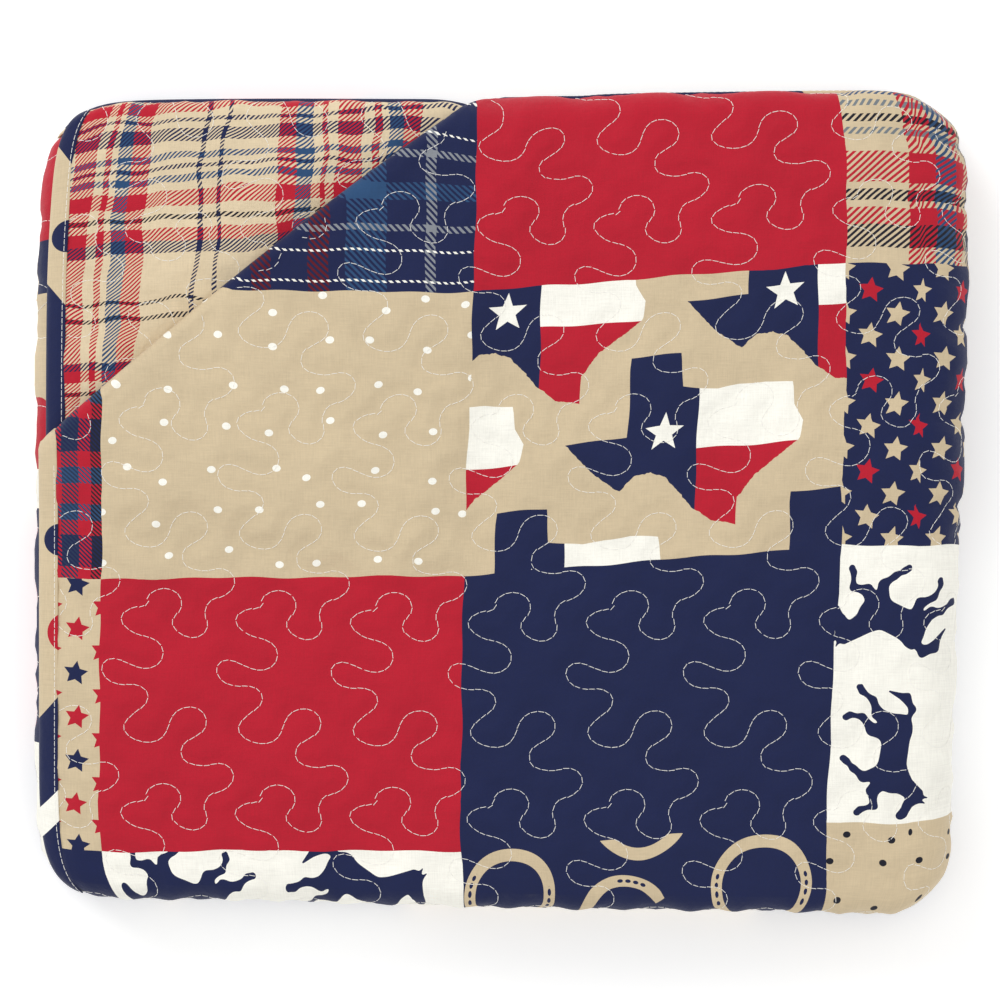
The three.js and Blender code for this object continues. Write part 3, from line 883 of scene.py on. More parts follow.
# Printed spots, loosely scattered and a little wider than high
dots = {
    "flatten": 1.25,
    "scatter": 0.55,
    # for each print: the spacing, a spot's radius, the ground and the spots
    "tanDots": (23.5, 1.95, "tan", "white"),
    "navyDots": (20, 1.8, "tan", "black"),
}


def spotsGroup():
    tree, given, wanted = newGroup(
        "printedSpots", {"Place": "Vector", "Spacing": "Float", "Radius": "Float"}, {"Inside": "Float"})
    flat = onVector(tree, "MULTIPLY", given["Place"], (1, dots["flatten"], 1))
    scale = calc(tree, "DIVIDE", 1, given["Spacing"])
    inputs = {"Vector": flat, "Scale": scale, "Randomness": dots["scatter"]}
    found = addNode(tree, "ShaderNodeTexVoronoi", inputs, voronoi_dimensions="2D").outputs["Distance"]
    limit = calc(tree, "MULTIPLY", given["Radius"], scale)
    join(tree, calc(tree, "LESS_THAN", found, limit), wanted["Inside"])
    return tree


# Two sets of stripes that cross as diagonal hatching, so each shows through the other
def twillGroup():
    tree, given, wanted = newGroup(
        "twillStripes",
        {"Place": "Vector", "Base": "Color", "Down": "Color", "Down share": "Float", "Across": "Color",
         "Across share": "Float", "Step across": "Float", "Step down": "Float"},
        {"Colour": "Color"},
    )
    x, y = split(tree, given["Place"])
    diagonal = calc(tree, "ADD", calc(tree, "DIVIDE", x, given["Step across"]),
                    calc(tree, "DIVIDE", y, given["Step down"]))
    over = calc(tree, "LESS_THAN", calc(tree, "FRACT", diagonal), 0.5)
    under = calc(tree, "SUBTRACT", 1, over)
    colour = blend(tree, calc(tree, "MULTIPLY", over, given["Down share"]), given["Base"], given["Down"])
    colour = blend(tree, calc(tree, "MULTIPLY", under, given["Across share"]), colour, given["Across"])
    join(tree, colour, wanted["Colour"])
    return tree


# A curve through listed points, both ways from nought to one
def profile(tree, value, points):
    made = addNode(tree, "ShaderNodeFloatCurve", {"Value": value})
    curve = made.mapping.curves[0]
    for at in points[1:-1]:
        curve.points.new(*at)
    for point, at in zip(curve.points, points):
        point.location = at
        point.handle_type = "VECTOR"
    made.mapping.update()
    return made.outputs[0]


# The outline of a state, filled as its flag. Heights and lengths are shares of its width.
flagState = {
    "width": 106,
    "top": [
        (0, 0.335), (0.26, 0.32), (0.262, 0), (0.48, 0), (0.482, 0.135), (0.55, 0.145), (0.63, 0.155),
        (0.72, 0.14), (0.83, 0.135), (0.947, 0.15), (0.955, 0.24), (1, 0.31),
    ],
    "bottom": [
        (0, 0.335), (0.06, 0.4), (0.11, 0.455), (0.17, 0.5), (0.23, 0.537), (0.29, 0.48), (0.36, 0.48),
        (0.42, 0.5), (0.48, 0.56), (0.54, 0.63), (0.62, 0.69), (0.723, 0.707), (0.73, 0.6),
        (0.8, 0.51), (0.92, 0.43), (0.99, 0.38), (1, 0.31),
    ],
    "field": 0.553,  # where the upright field ends
    "fieldLevel": 0.39,  # where the two level fields meet
    "star": (0.415, 0.333),
    "starRadius": 9,
    "starWaist": 0.42,
    "ragged": 1.6,  # how rough its lower edge is
    "raggedScale": 0.35,
    # where each one's left and top sides fall in the patch
    "places": [
        (43.7, 35.2), (-27.9, -24.5), (96.9, -25), (-81.1, 36.8), (-14.4, 100.6), (117, 101.4),
    ],
    "tall": 1.045,
}


def flagStateGroup(star):
    tree, given, wanted = newGroup(
        "flagState", {"Place": "Vector"}, {"Inside": "Float", "Colour": "Color"})
    wide = flagState["width"]
    shares = onVector(tree, "MULTIPLY", given["Place"], (1 / wide, 1 / wide / flagState["tall"], 0))
    x, y = split(tree, shares)
    shore = noise(tree, given["Place"], flagState["raggedScale"], 2)
    wobble = calc(tree, "MULTIPLY", calc(tree, "SUBTRACT", shore, 0.5), flagState["ragged"] / wide)
    top = profile(tree, x, flagState["top"])
    bottom = calc(tree, "ADD", profile(tree, x, flagState["bottom"]), wobble)
    belowTop, aboveBottom = calc(tree, "GREATER_THAN", y, top), calc(tree, "LESS_THAN", y, bottom)
    inside = calc(tree, "MULTIPLY", belowTop, aboveBottom)
    join(tree, calc(tree, "MULTIPLY", inside, calc(tree, "COMPARE", x, 0.5, 0.5)), wanted["Inside"])
    starX, starY = (share * wide for share in flagState["star"])
    fromStar = onVector(tree, "SUBTRACT", given["Place"], (starX, starY, 0))
    inStar = useGroup(tree, star, Place=fromStar, Radius=flagState["starRadius"],
                      Waist=flagState["starWaist"], Turn=math.pi)["Inside"]
    isLow = calc(tree, "GREATER_THAN", y, flagState["fieldLevel"])
    isUpright = calc(tree, "LESS_THAN", x, flagState["field"])
    fields = blend(tree, isUpright, blend(tree, isLow, ink("white"), ink("red")), ink("navy"))
    join(tree, blend(tree, inStar, fields, ink("white")), wanted["Colour"])
    return tree


# A running horse seen from the side, as tapering limbs: from x, y to x, y, and how thick each end is
horse = {
    "limbs": [
        # body
        (-14, 2.4, 9, 2.2, 14.6, 13.4), (-16.5, 3.6, -12, 1.5, 16, 14.5), (7, 3, 13, 3.6, 14.5, 12),
        (11, 6.5, 20.5, 17.2, 13, 7), (6, 8.5, 18.5, 19.6, 3, 5),  # neck and mane
        (20.6, 17, 30, 10.4, 8, 4), (21.5, 14.8, 25, 12.6, 7, 5), (29, 11, 30.6, 9.4, 4.2, 3.8),  # head
        (20.6, 19.5, 21, 24.4, 2.6, 0.6), (22.6, 19, 24, 23.4, 2.2, 0.6),  # ears
        # tail
        (-22, 7.5, -27.5, 9.6, 3.4, 5), (-27.5, 9.6, -33.4, 5.5, 5, 5.4),
        (-33.4, 5.5, -35.8, -3.8, 5.2, 1),
        # legs, hind then fore
        (-18, 0.5, -22.5, -7.5, 12, 6.6), (-22.5, -7.5, -30, -11.2, 5.2, 3.2),
        (-30, -11.2, -34, -17, 2.9, 2.4), (-34, -17, -36.4, -18.6, 2.8, 3.4),
        (-13.5, -1, -13.4, -9.5, 12, 6.6), (-13.4, -9.5, -20.2, -15.2, 5.2, 3.2),
        (-20.2, -15.2, -20.8, -21.2, 2.9, 2.4), (-20.8, -21.2, -19.2, -23, 2.8, 3.4),
        (12, -0.5, 19.5, -5, 9, 5.6), (19.5, -5, 27.4, -3.6, 4.8, 3.2),
        (27.4, -3.6, 30.4, -10, 2.9, 2.4), (30.4, -10, 32.2, -11.4, 2.8, 3.4),
        (8.5, -1.5, 12.6, -10, 9, 5.2), (12.6, -10, 8.4, -16, 4.4, 3),
        (8.4, -16, 4.6, -20.2, 2.8, 2.4), (4.6, -20.2, 3.2, -22, 2.8, 3.4),
    ],
    "middle": (-2, 0),
    "blend": 3,  # how softly the limbs run into each other
    "cell": (84, 63.75),  # one horse to a cell of the patch
    "cellShift": (14, 0),
    "lowShift": (6, 14),
    "size": (0.84, 0.98),  # its length and height against the chart
    "turn": (2.75, 2.95, 1.86),  # the first horse's angle, then how much more for each column and row
}


# How far a place lies outside a limb, less than nought inside it
def outsideLimb(tree, place, x0, y0, x1, y1, startThickness, endThickness):
    run = Vector((x1 - x0, y1 - y0, 0))
    reach = onVector(tree, "SUBTRACT", place, (x0, y0, 0))
    share = onVector(tree, "DOT_PRODUCT", reach, tuple(run / run.length_squared))
    share = addNode(tree, "ShaderNodeClamp", {"Value": share}).outputs[0]
    distance = onVector(tree, "DISTANCE", reach, onVector(tree, "SCALE", tuple(run), share))
    radius = calc(tree, "MULTIPLY_ADD", share, (endThickness - startThickness) / 2, startThickness / 2)
    return calc(tree, "SUBTRACT", distance, radius)


def horseGroup():
    tree, given, wanted = newGroup("runningHorse", {"Place": "Vector"}, {"Inside": "Float"})
    long, high = horse["size"]
    place = onVector(tree, "MULTIPLY", given["Place"], (1 / long, -1 / high, 0))
    place = onVector(tree, "ADD", place, (*horse["middle"], 0))
    nearest = outsideLimb(tree, place, *horse["limbs"][0])
    for limb in horse["limbs"][1:]:
        nearest = calc(tree, "SMOOTH_MIN", nearest, outsideLimb(tree, place, *limb), horse["blend"])
    join(tree, calc(tree, "LESS_THAN", nearest, 0), wanted["Inside"])
    return tree


horseshoe = {
    "thickness": 5.6,
    "halfWidth": (2.2, 0.22),  # at its ends, and how much more for each radian towards its toe
    "opening": 0.66,  # half the angle of the gap between its ends
    "nailEvery": 0.19,
    "nailSize": (2.6, 1.6),
    "nailSpan": (1.55, 0.38),  # the angle of each side's nails, and how far they reach either way
    # the middle of each printed shoe in its patch, its outer radius, and which way it opens
    "places": [
        (21, 21.5, 21, 0.25), (82.5, -13.5, 23.5, 3.1), (73, 38, 22, 4.9), (137.5, 26.5, 23.8, 0.05),
        (30, 75, 23, 2.2), (95, 92, 22, 5.2), (148, 82, 23, 3.6),
    ],
}


def horseshoeGroup():
    tree, given, wanted = newGroup(
        "horseshoe", {"Place": "Vector", "Radius": "Float", "Opens": "Float"}, {"Inside": "Float"})
    x, y = split(tree, given["Place"])
    reach = onVector(tree, "LENGTH", given["Place"])
    angle = calc(tree, "ADD", calc(tree, "ARCTAN2", x, y), given["Opens"])
    away = calc(tree, "ABSOLUTE", calc(tree, "WRAP", angle, math.pi, -math.pi))
    middle = calc(tree, "SUBTRACT", given["Radius"], horseshoe["thickness"] / 2)
    halfWidth, swell = horseshoe["halfWidth"]
    taper = calc(tree, "MULTIPLY_ADD", away, swell, halfWidth)
    offset = calc(tree, "SUBTRACT", reach, middle)
    band = calc(tree, "LESS_THAN", calc(tree, "ABSOLUTE", offset), taper)
    band = calc(tree, "MULTIPLY", band, calc(tree, "GREATER_THAN", away, horseshoe["opening"]))
    every, (long, wide) = horseshoe["nailEvery"], horseshoe["nailSize"]
    spoke = calc(tree, "SUBTRACT", calc(tree, "FRACT", calc(tree, "DIVIDE", away, every)), 0.5)
    along = calc(tree, "MULTIPLY", calc(tree, "MULTIPLY", spoke, every), middle)
    nail = onVector(tree, "LENGTH", together(tree, calc(tree, "DIVIDE", along, long / 2),
                                             calc(tree, "DIVIDE", offset, wide / 2)))
    sides = calc(tree, "COMPARE", away, *horseshoe["nailSpan"])
    nail = calc(tree, "MULTIPLY", calc(tree, "LESS_THAN", nail, 1), sides)
    join(tree, calc(tree, "MULTIPLY", band, calc(tree, "SUBTRACT", 1, nail)), wanted["Inside"])
    return tree


cotton = cottonGroup()
star = starGroup()
starField = starFieldGroup(star)
spots = spotsGroup()
twill = twillGroup()
flag = flagStateGroup(star)
runningHorse = horseGroup()
shoe = horseshoeGroup()

# The stripes of each plaid in millimetres: first those that run down the cloth, counted across it, then
# those that run across, counted down it. Step is the slant of the hatching where stripes cross.
setts = {
    "reverse": {
        "base": "cream",
        "start": (41.4, 1351.2),
        "step": (2.4, -1.9),
        "down": [
            (23.5, None), (2.2, "navy"), (7.4, None), (2.2, "navy"), (25, None), (8, "red"), (7, "blue"),
            (4.5, None), (2.5, "red"), (4, None), (12, "red"), (4, None), (3, "red"), (3.2, None),
            (6.6, "blue"), (9, "red"),
        ],
        "across": [
            (18.3, None), (2, "black"), (5.4, None), (2, "black"), (21.3, None), (6, "navy"), (5.5, "red"),
            (3.2, None), (2.2, "black"), (4, None), (6.6, "red"), (3.7, None), (2.6, "blue"),
            (2.2, None), (2, "navy"), (2.2, None), (2.6, "blue"), (4.8, None), (6.6, "navy"),
            (2.4, None), (1.8, "navy"), (2.6, None), (5, "red"), (12, None), (2.5, "black"),
            (4.5, None), (5.4, "red"), (3.5, "navy"),
        ],
    },
    "tanPlaid": {
        "base": "tan",
        "start": (0, -5.1),
        "step": (3.4, 3),
        "down": [
            (28, None), (15.5, "red"), (10.5, "blue"), (6, "red"), (5, None), (5, "navy"), (12, None),
            (5, "navy"), (29, None), (11.6, "red"), (9, "blue"), (6, "red"), (28, None),
        ],
        "across": [
            (8, None), (13, "red"), (6, None), (5, "navy"), (3, None), (10, "red"), (7, None),
            (4, "blue"), (3, None), (2.6, "grey"), (3, None), (3.4, "black"), (2.6, None),
            (3.4, "grey"), (7.6, None), (13.8, "red"), (3.5, None), (5.1, "black"), (2.9, None),
            (8, "red"), (10.3, "black"), (7.4, None),
        ],
    },
    "navyTartan": {
        "base": "navy",
        "start": (0, 0),
        "step": (3, -3),
        "down": [
            (12, None), (9.3, "darkRed"), (14, None), (17.5, "blue"), (16.9, None), (9, "darkRed"),
            (16.3, None), (9.3, "darkRed"), (7, None), (17.5, "blue"), (16.9, None), (5, "pale"),
            (17.3, None),
        ],
        "across": [
            (9.3, "blue"), (10.7, None), (3.2, "pale"), (18.6, None), (1, "white"), (12.2, None),
            (1, "white"), (7.6, None), (3.2, "pale"), (12.1, None), (8.2, "blue"), (10.7, None),
            (3.2, "pale"), (7.6, None), (1, "white"), (12.7, None), (1, "white"), (4.2, None),
        ],
    },
    "buffaloCheck": {
        "base": "red",
        "start": (145.9, 56.1),
        "step": (2.2, -2),
        "down": [(3.4, None), (8, "slate"), (5.7, None), (5, "black"), (6, None), (4, "navy")],
        "across": [(14.2, "navy"), (6.9, None), (7.3, "blue"), (9, None), (7.5, "blue"), (6.8, None)],
    },
}


def stripes(tree, value, bands):
    length = sum(width for width, _ in bands)
    share = calc(tree, "FRACT", calc(tree, "DIVIDE", value, length))
    made = addNode(tree, "ShaderNodeValToRGB", {0: share})
    ramp = made.color_ramp
    ramp.interpolation = "CONSTANT"
    ramp.elements.remove(ramp.elements[-1])
    at = 0
    for i, (width, name) in enumerate(bands):
        stop = ramp.elements[0] if i == 0 else ramp.elements.new(at / length)
        stop.position = at / length
        stop.color = ink(name) if name else (0, 0, 0, 0)
        at += width
    return made.outputs


def plaid(tree, place, name):
    sett = setts[name]
    x, y = split(tree, onVector(tree, "SUBTRACT", place, (*sett["start"], 0)))
    down, across = stripes(tree, x, sett["down"]), stripes(tree, y, sett["across"])
    inputs = {
        "Place": place, "Base": ink(sett["base"]), "Down": down["Color"], "Down share": down["Alpha"],
        "Across": across["Color"], "Across share": across["Alpha"],
        "Step across": sett["step"][0], "Step down": sett["step"][1],
    }
    return useGroup(tree, twill, **inputs)["Colour"]


def printedDots(tree, place, name):
    spacing, radius, ground, spot = dots[name]
    inside = useGroup(tree, spots, Place=place, Spacing=spacing, Radius=radius)["Inside"]
    return blend(tree, inside, ink(ground), ink(spot))


def printedStars(tree, place, name):
    shift, radius, ground, plain, accent = stars[name]
    shifted = onVector(tree, "ADD", place, (*shift, 0))
    field = useGroup(tree, starField, Place=shifted, Radius=radius, Turn=stars["turn"])
    colour = blend(tree, field["Accent"], ink(plain), ink(accent))
    return blend(tree, field["Inside"], ink(ground), colour)


def tanFlags(tree, place):
    colour = ink("tan")
    for x, y in flagState["places"]:
        found = useGroup(tree, flag, Place=onVector(tree, "SUBTRACT", place, (x, y, 0)))
        colour = blend(tree, found["Inside"], colour, found["Colour"])
    return colour


def horses(tree, place, shift):
    wide, high = horse["cell"]
    x, y = split(tree, onVector(tree, "ADD", place, (*shift, 0)))
    column = calc(tree, "FLOOR", calc(tree, "DIVIDE", x, wide))
    row = calc(tree, "FLOOR", calc(tree, "DIVIDE", y, high))
    inCell = together(tree, fromMiddle(tree, x, column, wide), fromMiddle(tree, y, row, high))
    first, perColumn, perRow = horse["turn"]
    angle = calc(tree, "MULTIPLY_ADD", row, perRow, calc(tree, "MULTIPLY_ADD", column, perColumn, first))
    inside = useGroup(tree, runningHorse, Place=turned(tree, inCell, angle))["Inside"]
    return blend(tree, inside, ink("white"), ink("navy"))


def horseshoes(tree, place):
    inside = 0.0
    for x, y, radius, opens in horseshoe["places"]:
        fromShoe = onVector(tree, "SUBTRACT", place, (x, y, 0))
        found = useGroup(tree, shoe, Place=fromShoe, Radius=radius, Opens=opens)
        inside = calc(tree, "MAXIMUM", inside, found["Inside"])
    return blend(tree, inside, ink("navy"), ink("tan"))


reverseCloth = {
    "lean": (0.055, 0.045),  # how far its plaid leans, across for each unit down and the other way
    "wander": 6,
    "wanderScale": 0.04,
    "wanderApart": 400,
    "crumple": 1.5,
}


# A printed cotton whose colour the paint function works out from the place in its patch
def printedCotton(name, paint, uvName="print", crumple=weave["crumple"]):
    material = bpy.data.materials.new(name)
    material.use_nodes = True
    tree = material.node_tree
    shader = tree.nodes["Principled BSDF"]
    places = []
    for each in ("cloth", uvName):
        uv = addNode(tree, "ShaderNodeUVMap", {}, uv_map=each).outputs[0]
        places.append(onVector(tree, "SCALE", uv, 1 / mm))
    woven = useGroup(tree, cotton, Cloth=places[0], Colour=paint(tree, places[1]), Thread=weave["thread"],
                     Slub=weave["slub"], Crumple=crumple)
    relief = {"Height": woven["Height"], "Strength": weave["bump"], "Distance": mm}
    bump = addNode(tree, "ShaderNodeBump", relief)
    join(tree, woven["Colour"], shader.inputs["Base Color"])
    join(tree, woven["Roughness"], shader.inputs["Roughness"])
    join(tree, bump.outputs[0], shader.inputs["Normal"])
    shader.inputs["Sheen Weight"].default_value = 0.12
    shader.inputs["Sheen Roughness"].default_value = 0.5
    shader.inputs["Specular IOR Level"].default_value = 0.25
    return material


# Draws a plaid out of true, as the quilting does on the reverse
def gathered(tree, place):
    startX, startY = setts["reverse"]["start"]
    x, y = split(tree, onVector(tree, "SUBTRACT", place, (startX, startY, 0)))
    leanX, leanY = reverseCloth["lean"]
    pulls = [calc(tree, "MULTIPLY", y, -leanX), calc(tree, "MULTIPLY", x, -leanY)]
    for i, apart in enumerate((0, reverseCloth["wanderApart"])):
        shifted = onVector(tree, "ADD", place, (apart, 0, 0))
        wander = calc(tree, "SUBTRACT", noise(tree, shifted, reverseCloth["wanderScale"], 1), 0.5)
        pulls[i] = calc(tree, "MULTIPLY_ADD", wander, reverseCloth["wander"], pulls[i])
    return onVector(tree, "ADD", place, together(tree, *pulls))


patchPrints = {
    "redPatch": lambda tree, place: ink("red"),
    "navyPatch": lambda tree, place: ink("navy"),
    "tanDots": lambda tree, place: printedDots(tree, place, "tanDots"),
    "navyDots": lambda tree, place: printedDots(tree, place, "navyDots"),
    "navyStars": lambda tree, place: printedStars(tree, place, "navyStars"),
    "tanStars": lambda tree, place: printedStars(tree, place, "tanStars"),
    "tanFlags": tanFlags,
    "horses": lambda tree, place: horses(tree, place, horse["cellShift"]),
    "horsesLow": lambda tree, place: horses(tree, place, horse["lowShift"]),
    "horseshoes": horseshoes,
    "tanPlaid": lambda tree, place: plaid(tree, place, "tanPlaid"),
    "navyTartan": lambda tree, place: plaid(tree, place, "navyTartan"),
    "buffaloCheck": lambda tree, place: plaid(tree, place, "buffaloCheck"),
}
patchLayout = [
    ["tanDots", "navyTartan", "redPatch", "tanPlaid"],
    ["buffaloCheck", "tanDots", "tanFlags", "navyStars"],
    ["tanStars", "redPatch", "navyPatch", "horses"],
    ["navyPatch", "horsesLow", "horseshoes", "navyDots"],
    ["tanDots", "navyPatch", "buffaloCheck", "tanPlaid"],
    ["redPatch", "tanFlags", "tanDots", "navyPatch"],
    ["tanStars", "redPatch", "horses", "navyTartan"],
    ["horses", "navyStars", "tanPlaid", "redPatch"],
]
patchMaterials = {name: printedCotton(name, paint) for name, paint in patchPrints.items()}
reversePlaid = printedCotton(
    "reversePlaid", lambda tree, place: plaid(tree, gathered(tree, place), "reverse"), "cloth",
    reverseCloth["crumple"])
print("printed cottons:", len(patchMaterials) + 1)


binding = {
    "width": 9,  # how far it reaches over the cloth from the edge
    "endShare": 0.58,  # its width at the cloth's last end, where it rolls over, as a share of this
    "crown": 2.15,  # half its thickness where it is thickest
    "lip": 1.75,  # half its thickness at the fold that is sewn down
    "edgeRound": 2.6,
    "edgeSteps": 4,
    # from the rounded edge inwards: share of the width, millimetres short of it, and the height as a
    # share of the crown
    "section": [(0.55, 0, 1.02), (1, 0.8, 0.97)],
    "foldIn": 0.15,  # the sewn fold rounds in by this much
    "underLip": 1.1,
    "pitch": 3,
    "leastPitch": 0.3,
    "mitre": (0.4, 0.5),  # how far beyond its width the first rings past a corner stand
}

quilt = {
    "inset": 8.2,  # the quilted cloth stops inside the binding
    "rimThickness": 3,
    "rimSpan": 7,
}


# Half the cloth's thickness, drawn in towards the binding
def halfThickness(across, down):
    fromEnd = np.minimum(down, (clothLength - down) / binding["endShare"])
    fromRim = np.minimum(np.minimum(across, clothWidth - across), fromEnd)
    share = smooth(quilt["inset"], quilt["inset"] + quilt["rimSpan"], fromRim)
    return quilt["rimThickness"] / 2 + (half - quilt["rimThickness"] / 2) * share


def buildQuilt(layout):
    inset = quilt["inset"]
    front = quiltCells(frontPitch, inset)
    reverse = quiltCells(reversePitch, inset)
    for line in creaseLines():
        front, reverse = splitPatches(front, line), splitPatches(reverse, line)
    for line in seamLines():
        front = splitPatches(front, line)
    lines = flatLines(inset)
    corners = [point for patch in front + reverse for point in patch]
    rims = ({round(v * 1000) for v in (inset, clothWidth - inset)},
            {round(v * 1000) for v in (inset, clothLength - inset * binding["endShare"])})
    onRim = [p for p in corners if key(p)[0] in rims[0] or key(p)[1] in rims[1]]
    front = shareCorners(front, [p for patch in front for p in patch] + onRim, lines)
    reverse = shareCorners(reverse, [p for patch in reverse for p in patch] + onRim, lines)
    index, flats = {}, []

    def cornerOf(side, point):
        found = index.setdefault((side, *key(point)), len(flats))
        if found == len(flats):
            flats.append(point)
        return found

    faces = [[cornerOf(0, p) for p in patch][::-1] for patch in front]
    frontCount = len(flats)
    faces += [[cornerOf(1, p) for p in patch] for patch in reverse]
    for point, following in openSides(front):
        faces.append([cornerOf(0, point), cornerOf(0, following),
                      cornerOf(1, following), cornerOf(1, point)])
    flats = np.array(flats)
    across, down = flats.T
    onFront = np.arange(len(flats)) < frontCount
    height = halfThickness(across, down)
    height[onFront] += frontRelief(across[onFront], down[onFront])
    height[~onFront] = -height[~onFront] - reverseRelief(across[~onFront], down[~onFront])
    places = place(across, down, height) * mm
    counts = np.stack(printAt(across, down), -1)
    middles = np.array([flats[face].mean(0) for face in faces[:len(front)]])
    patches = np.floor(np.stack(printAt(*middles.T), -1)).astype(int)
    wanted = [layout[row % len(layout)][column % len(layout[0])] for column, row in patches]
    names = list(dict.fromkeys(wanted))
    faceMaterials = [names.index(each) for each in wanted] + [len(names)] * (len(faces) - len(front))
    slots = [patchMaterials[each] for each in names] + [reversePlaid]
    sizes = [len(face) for face in faces]
    corners = np.concatenate(faces)
    starts = np.zeros((len(faces), 2))
    starts[:len(front)] = patches
    inPatch = (counts[corners] - np.repeat(starts, sizes, 0)) * (patchwork["width"], patchwork["height"])
    maps = {"cloth": flats[corners] * mm, "print": inPatch * mm}
    return makeMesh("quiltedCloth", places, faces, faceMaterials, slots, maps)


quiltedCloth = buildQuilt(patchLayout)
print("quilted cloth:", len(quiltedCloth.data.polygons), "faces")


# The section of the binding: how far in from the cloth's edge, and the height above its middle
def bindingSection():
    width, crown = binding["width"], binding["crown"]
    upper = [(binding["edgeRound"] * (1 - math.cos(angle)), crown * math.sin(angle))
             for angle in np.linspace(0, math.pi / 2, binding["edgeSteps"] + 1)]
    upper += [(width * share - short, crown * height) for share, short, height in binding["section"]]
    upper += [(width - binding["foldIn"], binding["lip"]), (width, binding["underLip"])]
    return upper + [(inward, -height) for inward, height in upper[:0:-1]]


def rimStops(stops, legs, length):
    low, high = (binding["width"] + clear for clear in binding["mitre"])
    found = [0.0, high]
    for leg, begin, end in zip(legs, stops, stops[1:]):
        pitch = min(binding["pitch"], turnPitch(leg)) if leg[5] else binding["pitch"]
        found.extend(evenStops(begin, end, pitch))
    kept = [0.0]
    for stop in sorted(found):
        if low < stop < length - low and stop - kept[-1] > binding["leastPitch"]:
            kept.append(stop)
    return kept


def buildBinding(material):
    section, endShare = bindingSection(), binding["endShare"]
    acrossStops = rimStops(stripStops, strips, clothWidth)
    downStops = rimStops(plyStops, plies, clothLength)
    rings = []
    for a in acrossStops:
        rings.append([(w if a == 0 else a, w, h) for w, h in section])
    for d in downStops:
        rings.append([(clothWidth - w, w if d == 0 else d, h) for w, h in section])
    for a in [clothWidth] + acrossStops[:0:-1]:
        rings.append([(clothWidth - w if a == clothWidth else a, clothLength - w * endShare, h)
                      for w, h in section])
    for d in [clothLength] + downStops[:0:-1]:
        rings.append([(w, clothLength - w * endShare if d == clothLength else d, h) for w, h in section])
    rings = np.array(rings)
    count, around = rings.shape[:2]
    flats = rings.reshape(-1, 3)
    faces = []
    for i in range(count):
        for j in range(around):
            k, n = (j + 1) % around, (i + 1) % count
            faces.append([i * around + j, i * around + k, n * around + k, n * around + j])
    places = place(*flats.T) * mm
    travelled = np.append(0, np.cumsum(np.hypot(*np.diff(rings[:, 0, :2], axis=0).T)))
    corners = np.concatenate(faces)
    band = np.stack([np.repeat(travelled, around), np.tile([w for w, _ in section], count)], -1)
    maps = {"cloth": flats[corners, :2] * mm, "band": band[corners] * mm}
    return makeMesh("boundEdge", places, faces, [0] * len(faces), [material], maps)


# Colours printed along the binding: millimetres round the cloth's edge from its top left corner
bindingPrint = {
    "stretches": [
        (340, "navy"), (150, "tan"), (420, "navy"), (60, "red"), (288, "navy"), (230, "tan"),
        (520, "navy"), (180, "tan"), (546, "navy"), (260, "navy"), (210, "tan"), (500, "navy"),
        (299, "navy"), (63, "tan"), (150, "navy"), (210, "tan"), (731, "navy"), (311, "tan"),
    ],
    "slant": -1.2,  # how much each colour's end leans across the binding
    "wedge": (5110, 5125),  # a white patch between two of the navy shapes
    # round shapes of the print that the binding cuts: across, down, radius, colour
    "rounds": [
        (11, 1453, 6.5, "navy"), (10, 215, 7.4, "navy"), (13.3, 258, 9.2, "red"), (9, 1410, 7.6, "navy"),
    ],
}


def bindingColour(tree, place):
    band = addNode(tree, "ShaderNodeUVMap", {}, uv_map="band").outputs[0]
    along, inward = split(tree, onVector(tree, "SCALE", band, 1 / mm))
    slanted = calc(tree, "MULTIPLY_ADD", inward, bindingPrint["slant"], along)
    colour = stripes(tree, slanted, bindingPrint["stretches"])["Color"]
    low, high = bindingPrint["wedge"]
    wedge = calc(tree, "COMPARE", slanted, (low + high) / 2, (high - low) / 2)
    colour = blend(tree, wedge, colour, ink("white"))
    for x, y, radius, name in bindingPrint["rounds"]:
        distance = onVector(tree, "DISTANCE", place, (x, y, 0))
        colour = blend(tree, calc(tree, "LESS_THAN", distance, radius), colour, ink(name))
    return colour


boundEdgeCloth = printedCotton("boundEdgeCloth", bindingColour, "cloth")
boundEdge = buildBinding(boundEdgeCloth)
print("binding:", len(boundEdge.data.polygons), "faces")

stitching = {
    "pitch": 3.3,  # from one stitch to the next, in mm
    "length": 2.8,
    "thread": 0.15,  # the thread's radius
    "rise": 0.14,  # how far a stitch bows up between its ends
    "bindingInward": 7.4,  # the second row holds the binding down
    "bindingPitch": 3,
    "bindingLength": 2.3,
    "bindingClear": 6,  # these rows start this far from the turned corner
    "bindingOnward": 150,  # how far the row on the uncovered ply goes on past the corner's crease
    "bindingStep": 1,  # from one place to the next along these rows
    "leastRun": 8,  # the fewest places on a line that is sewn
}


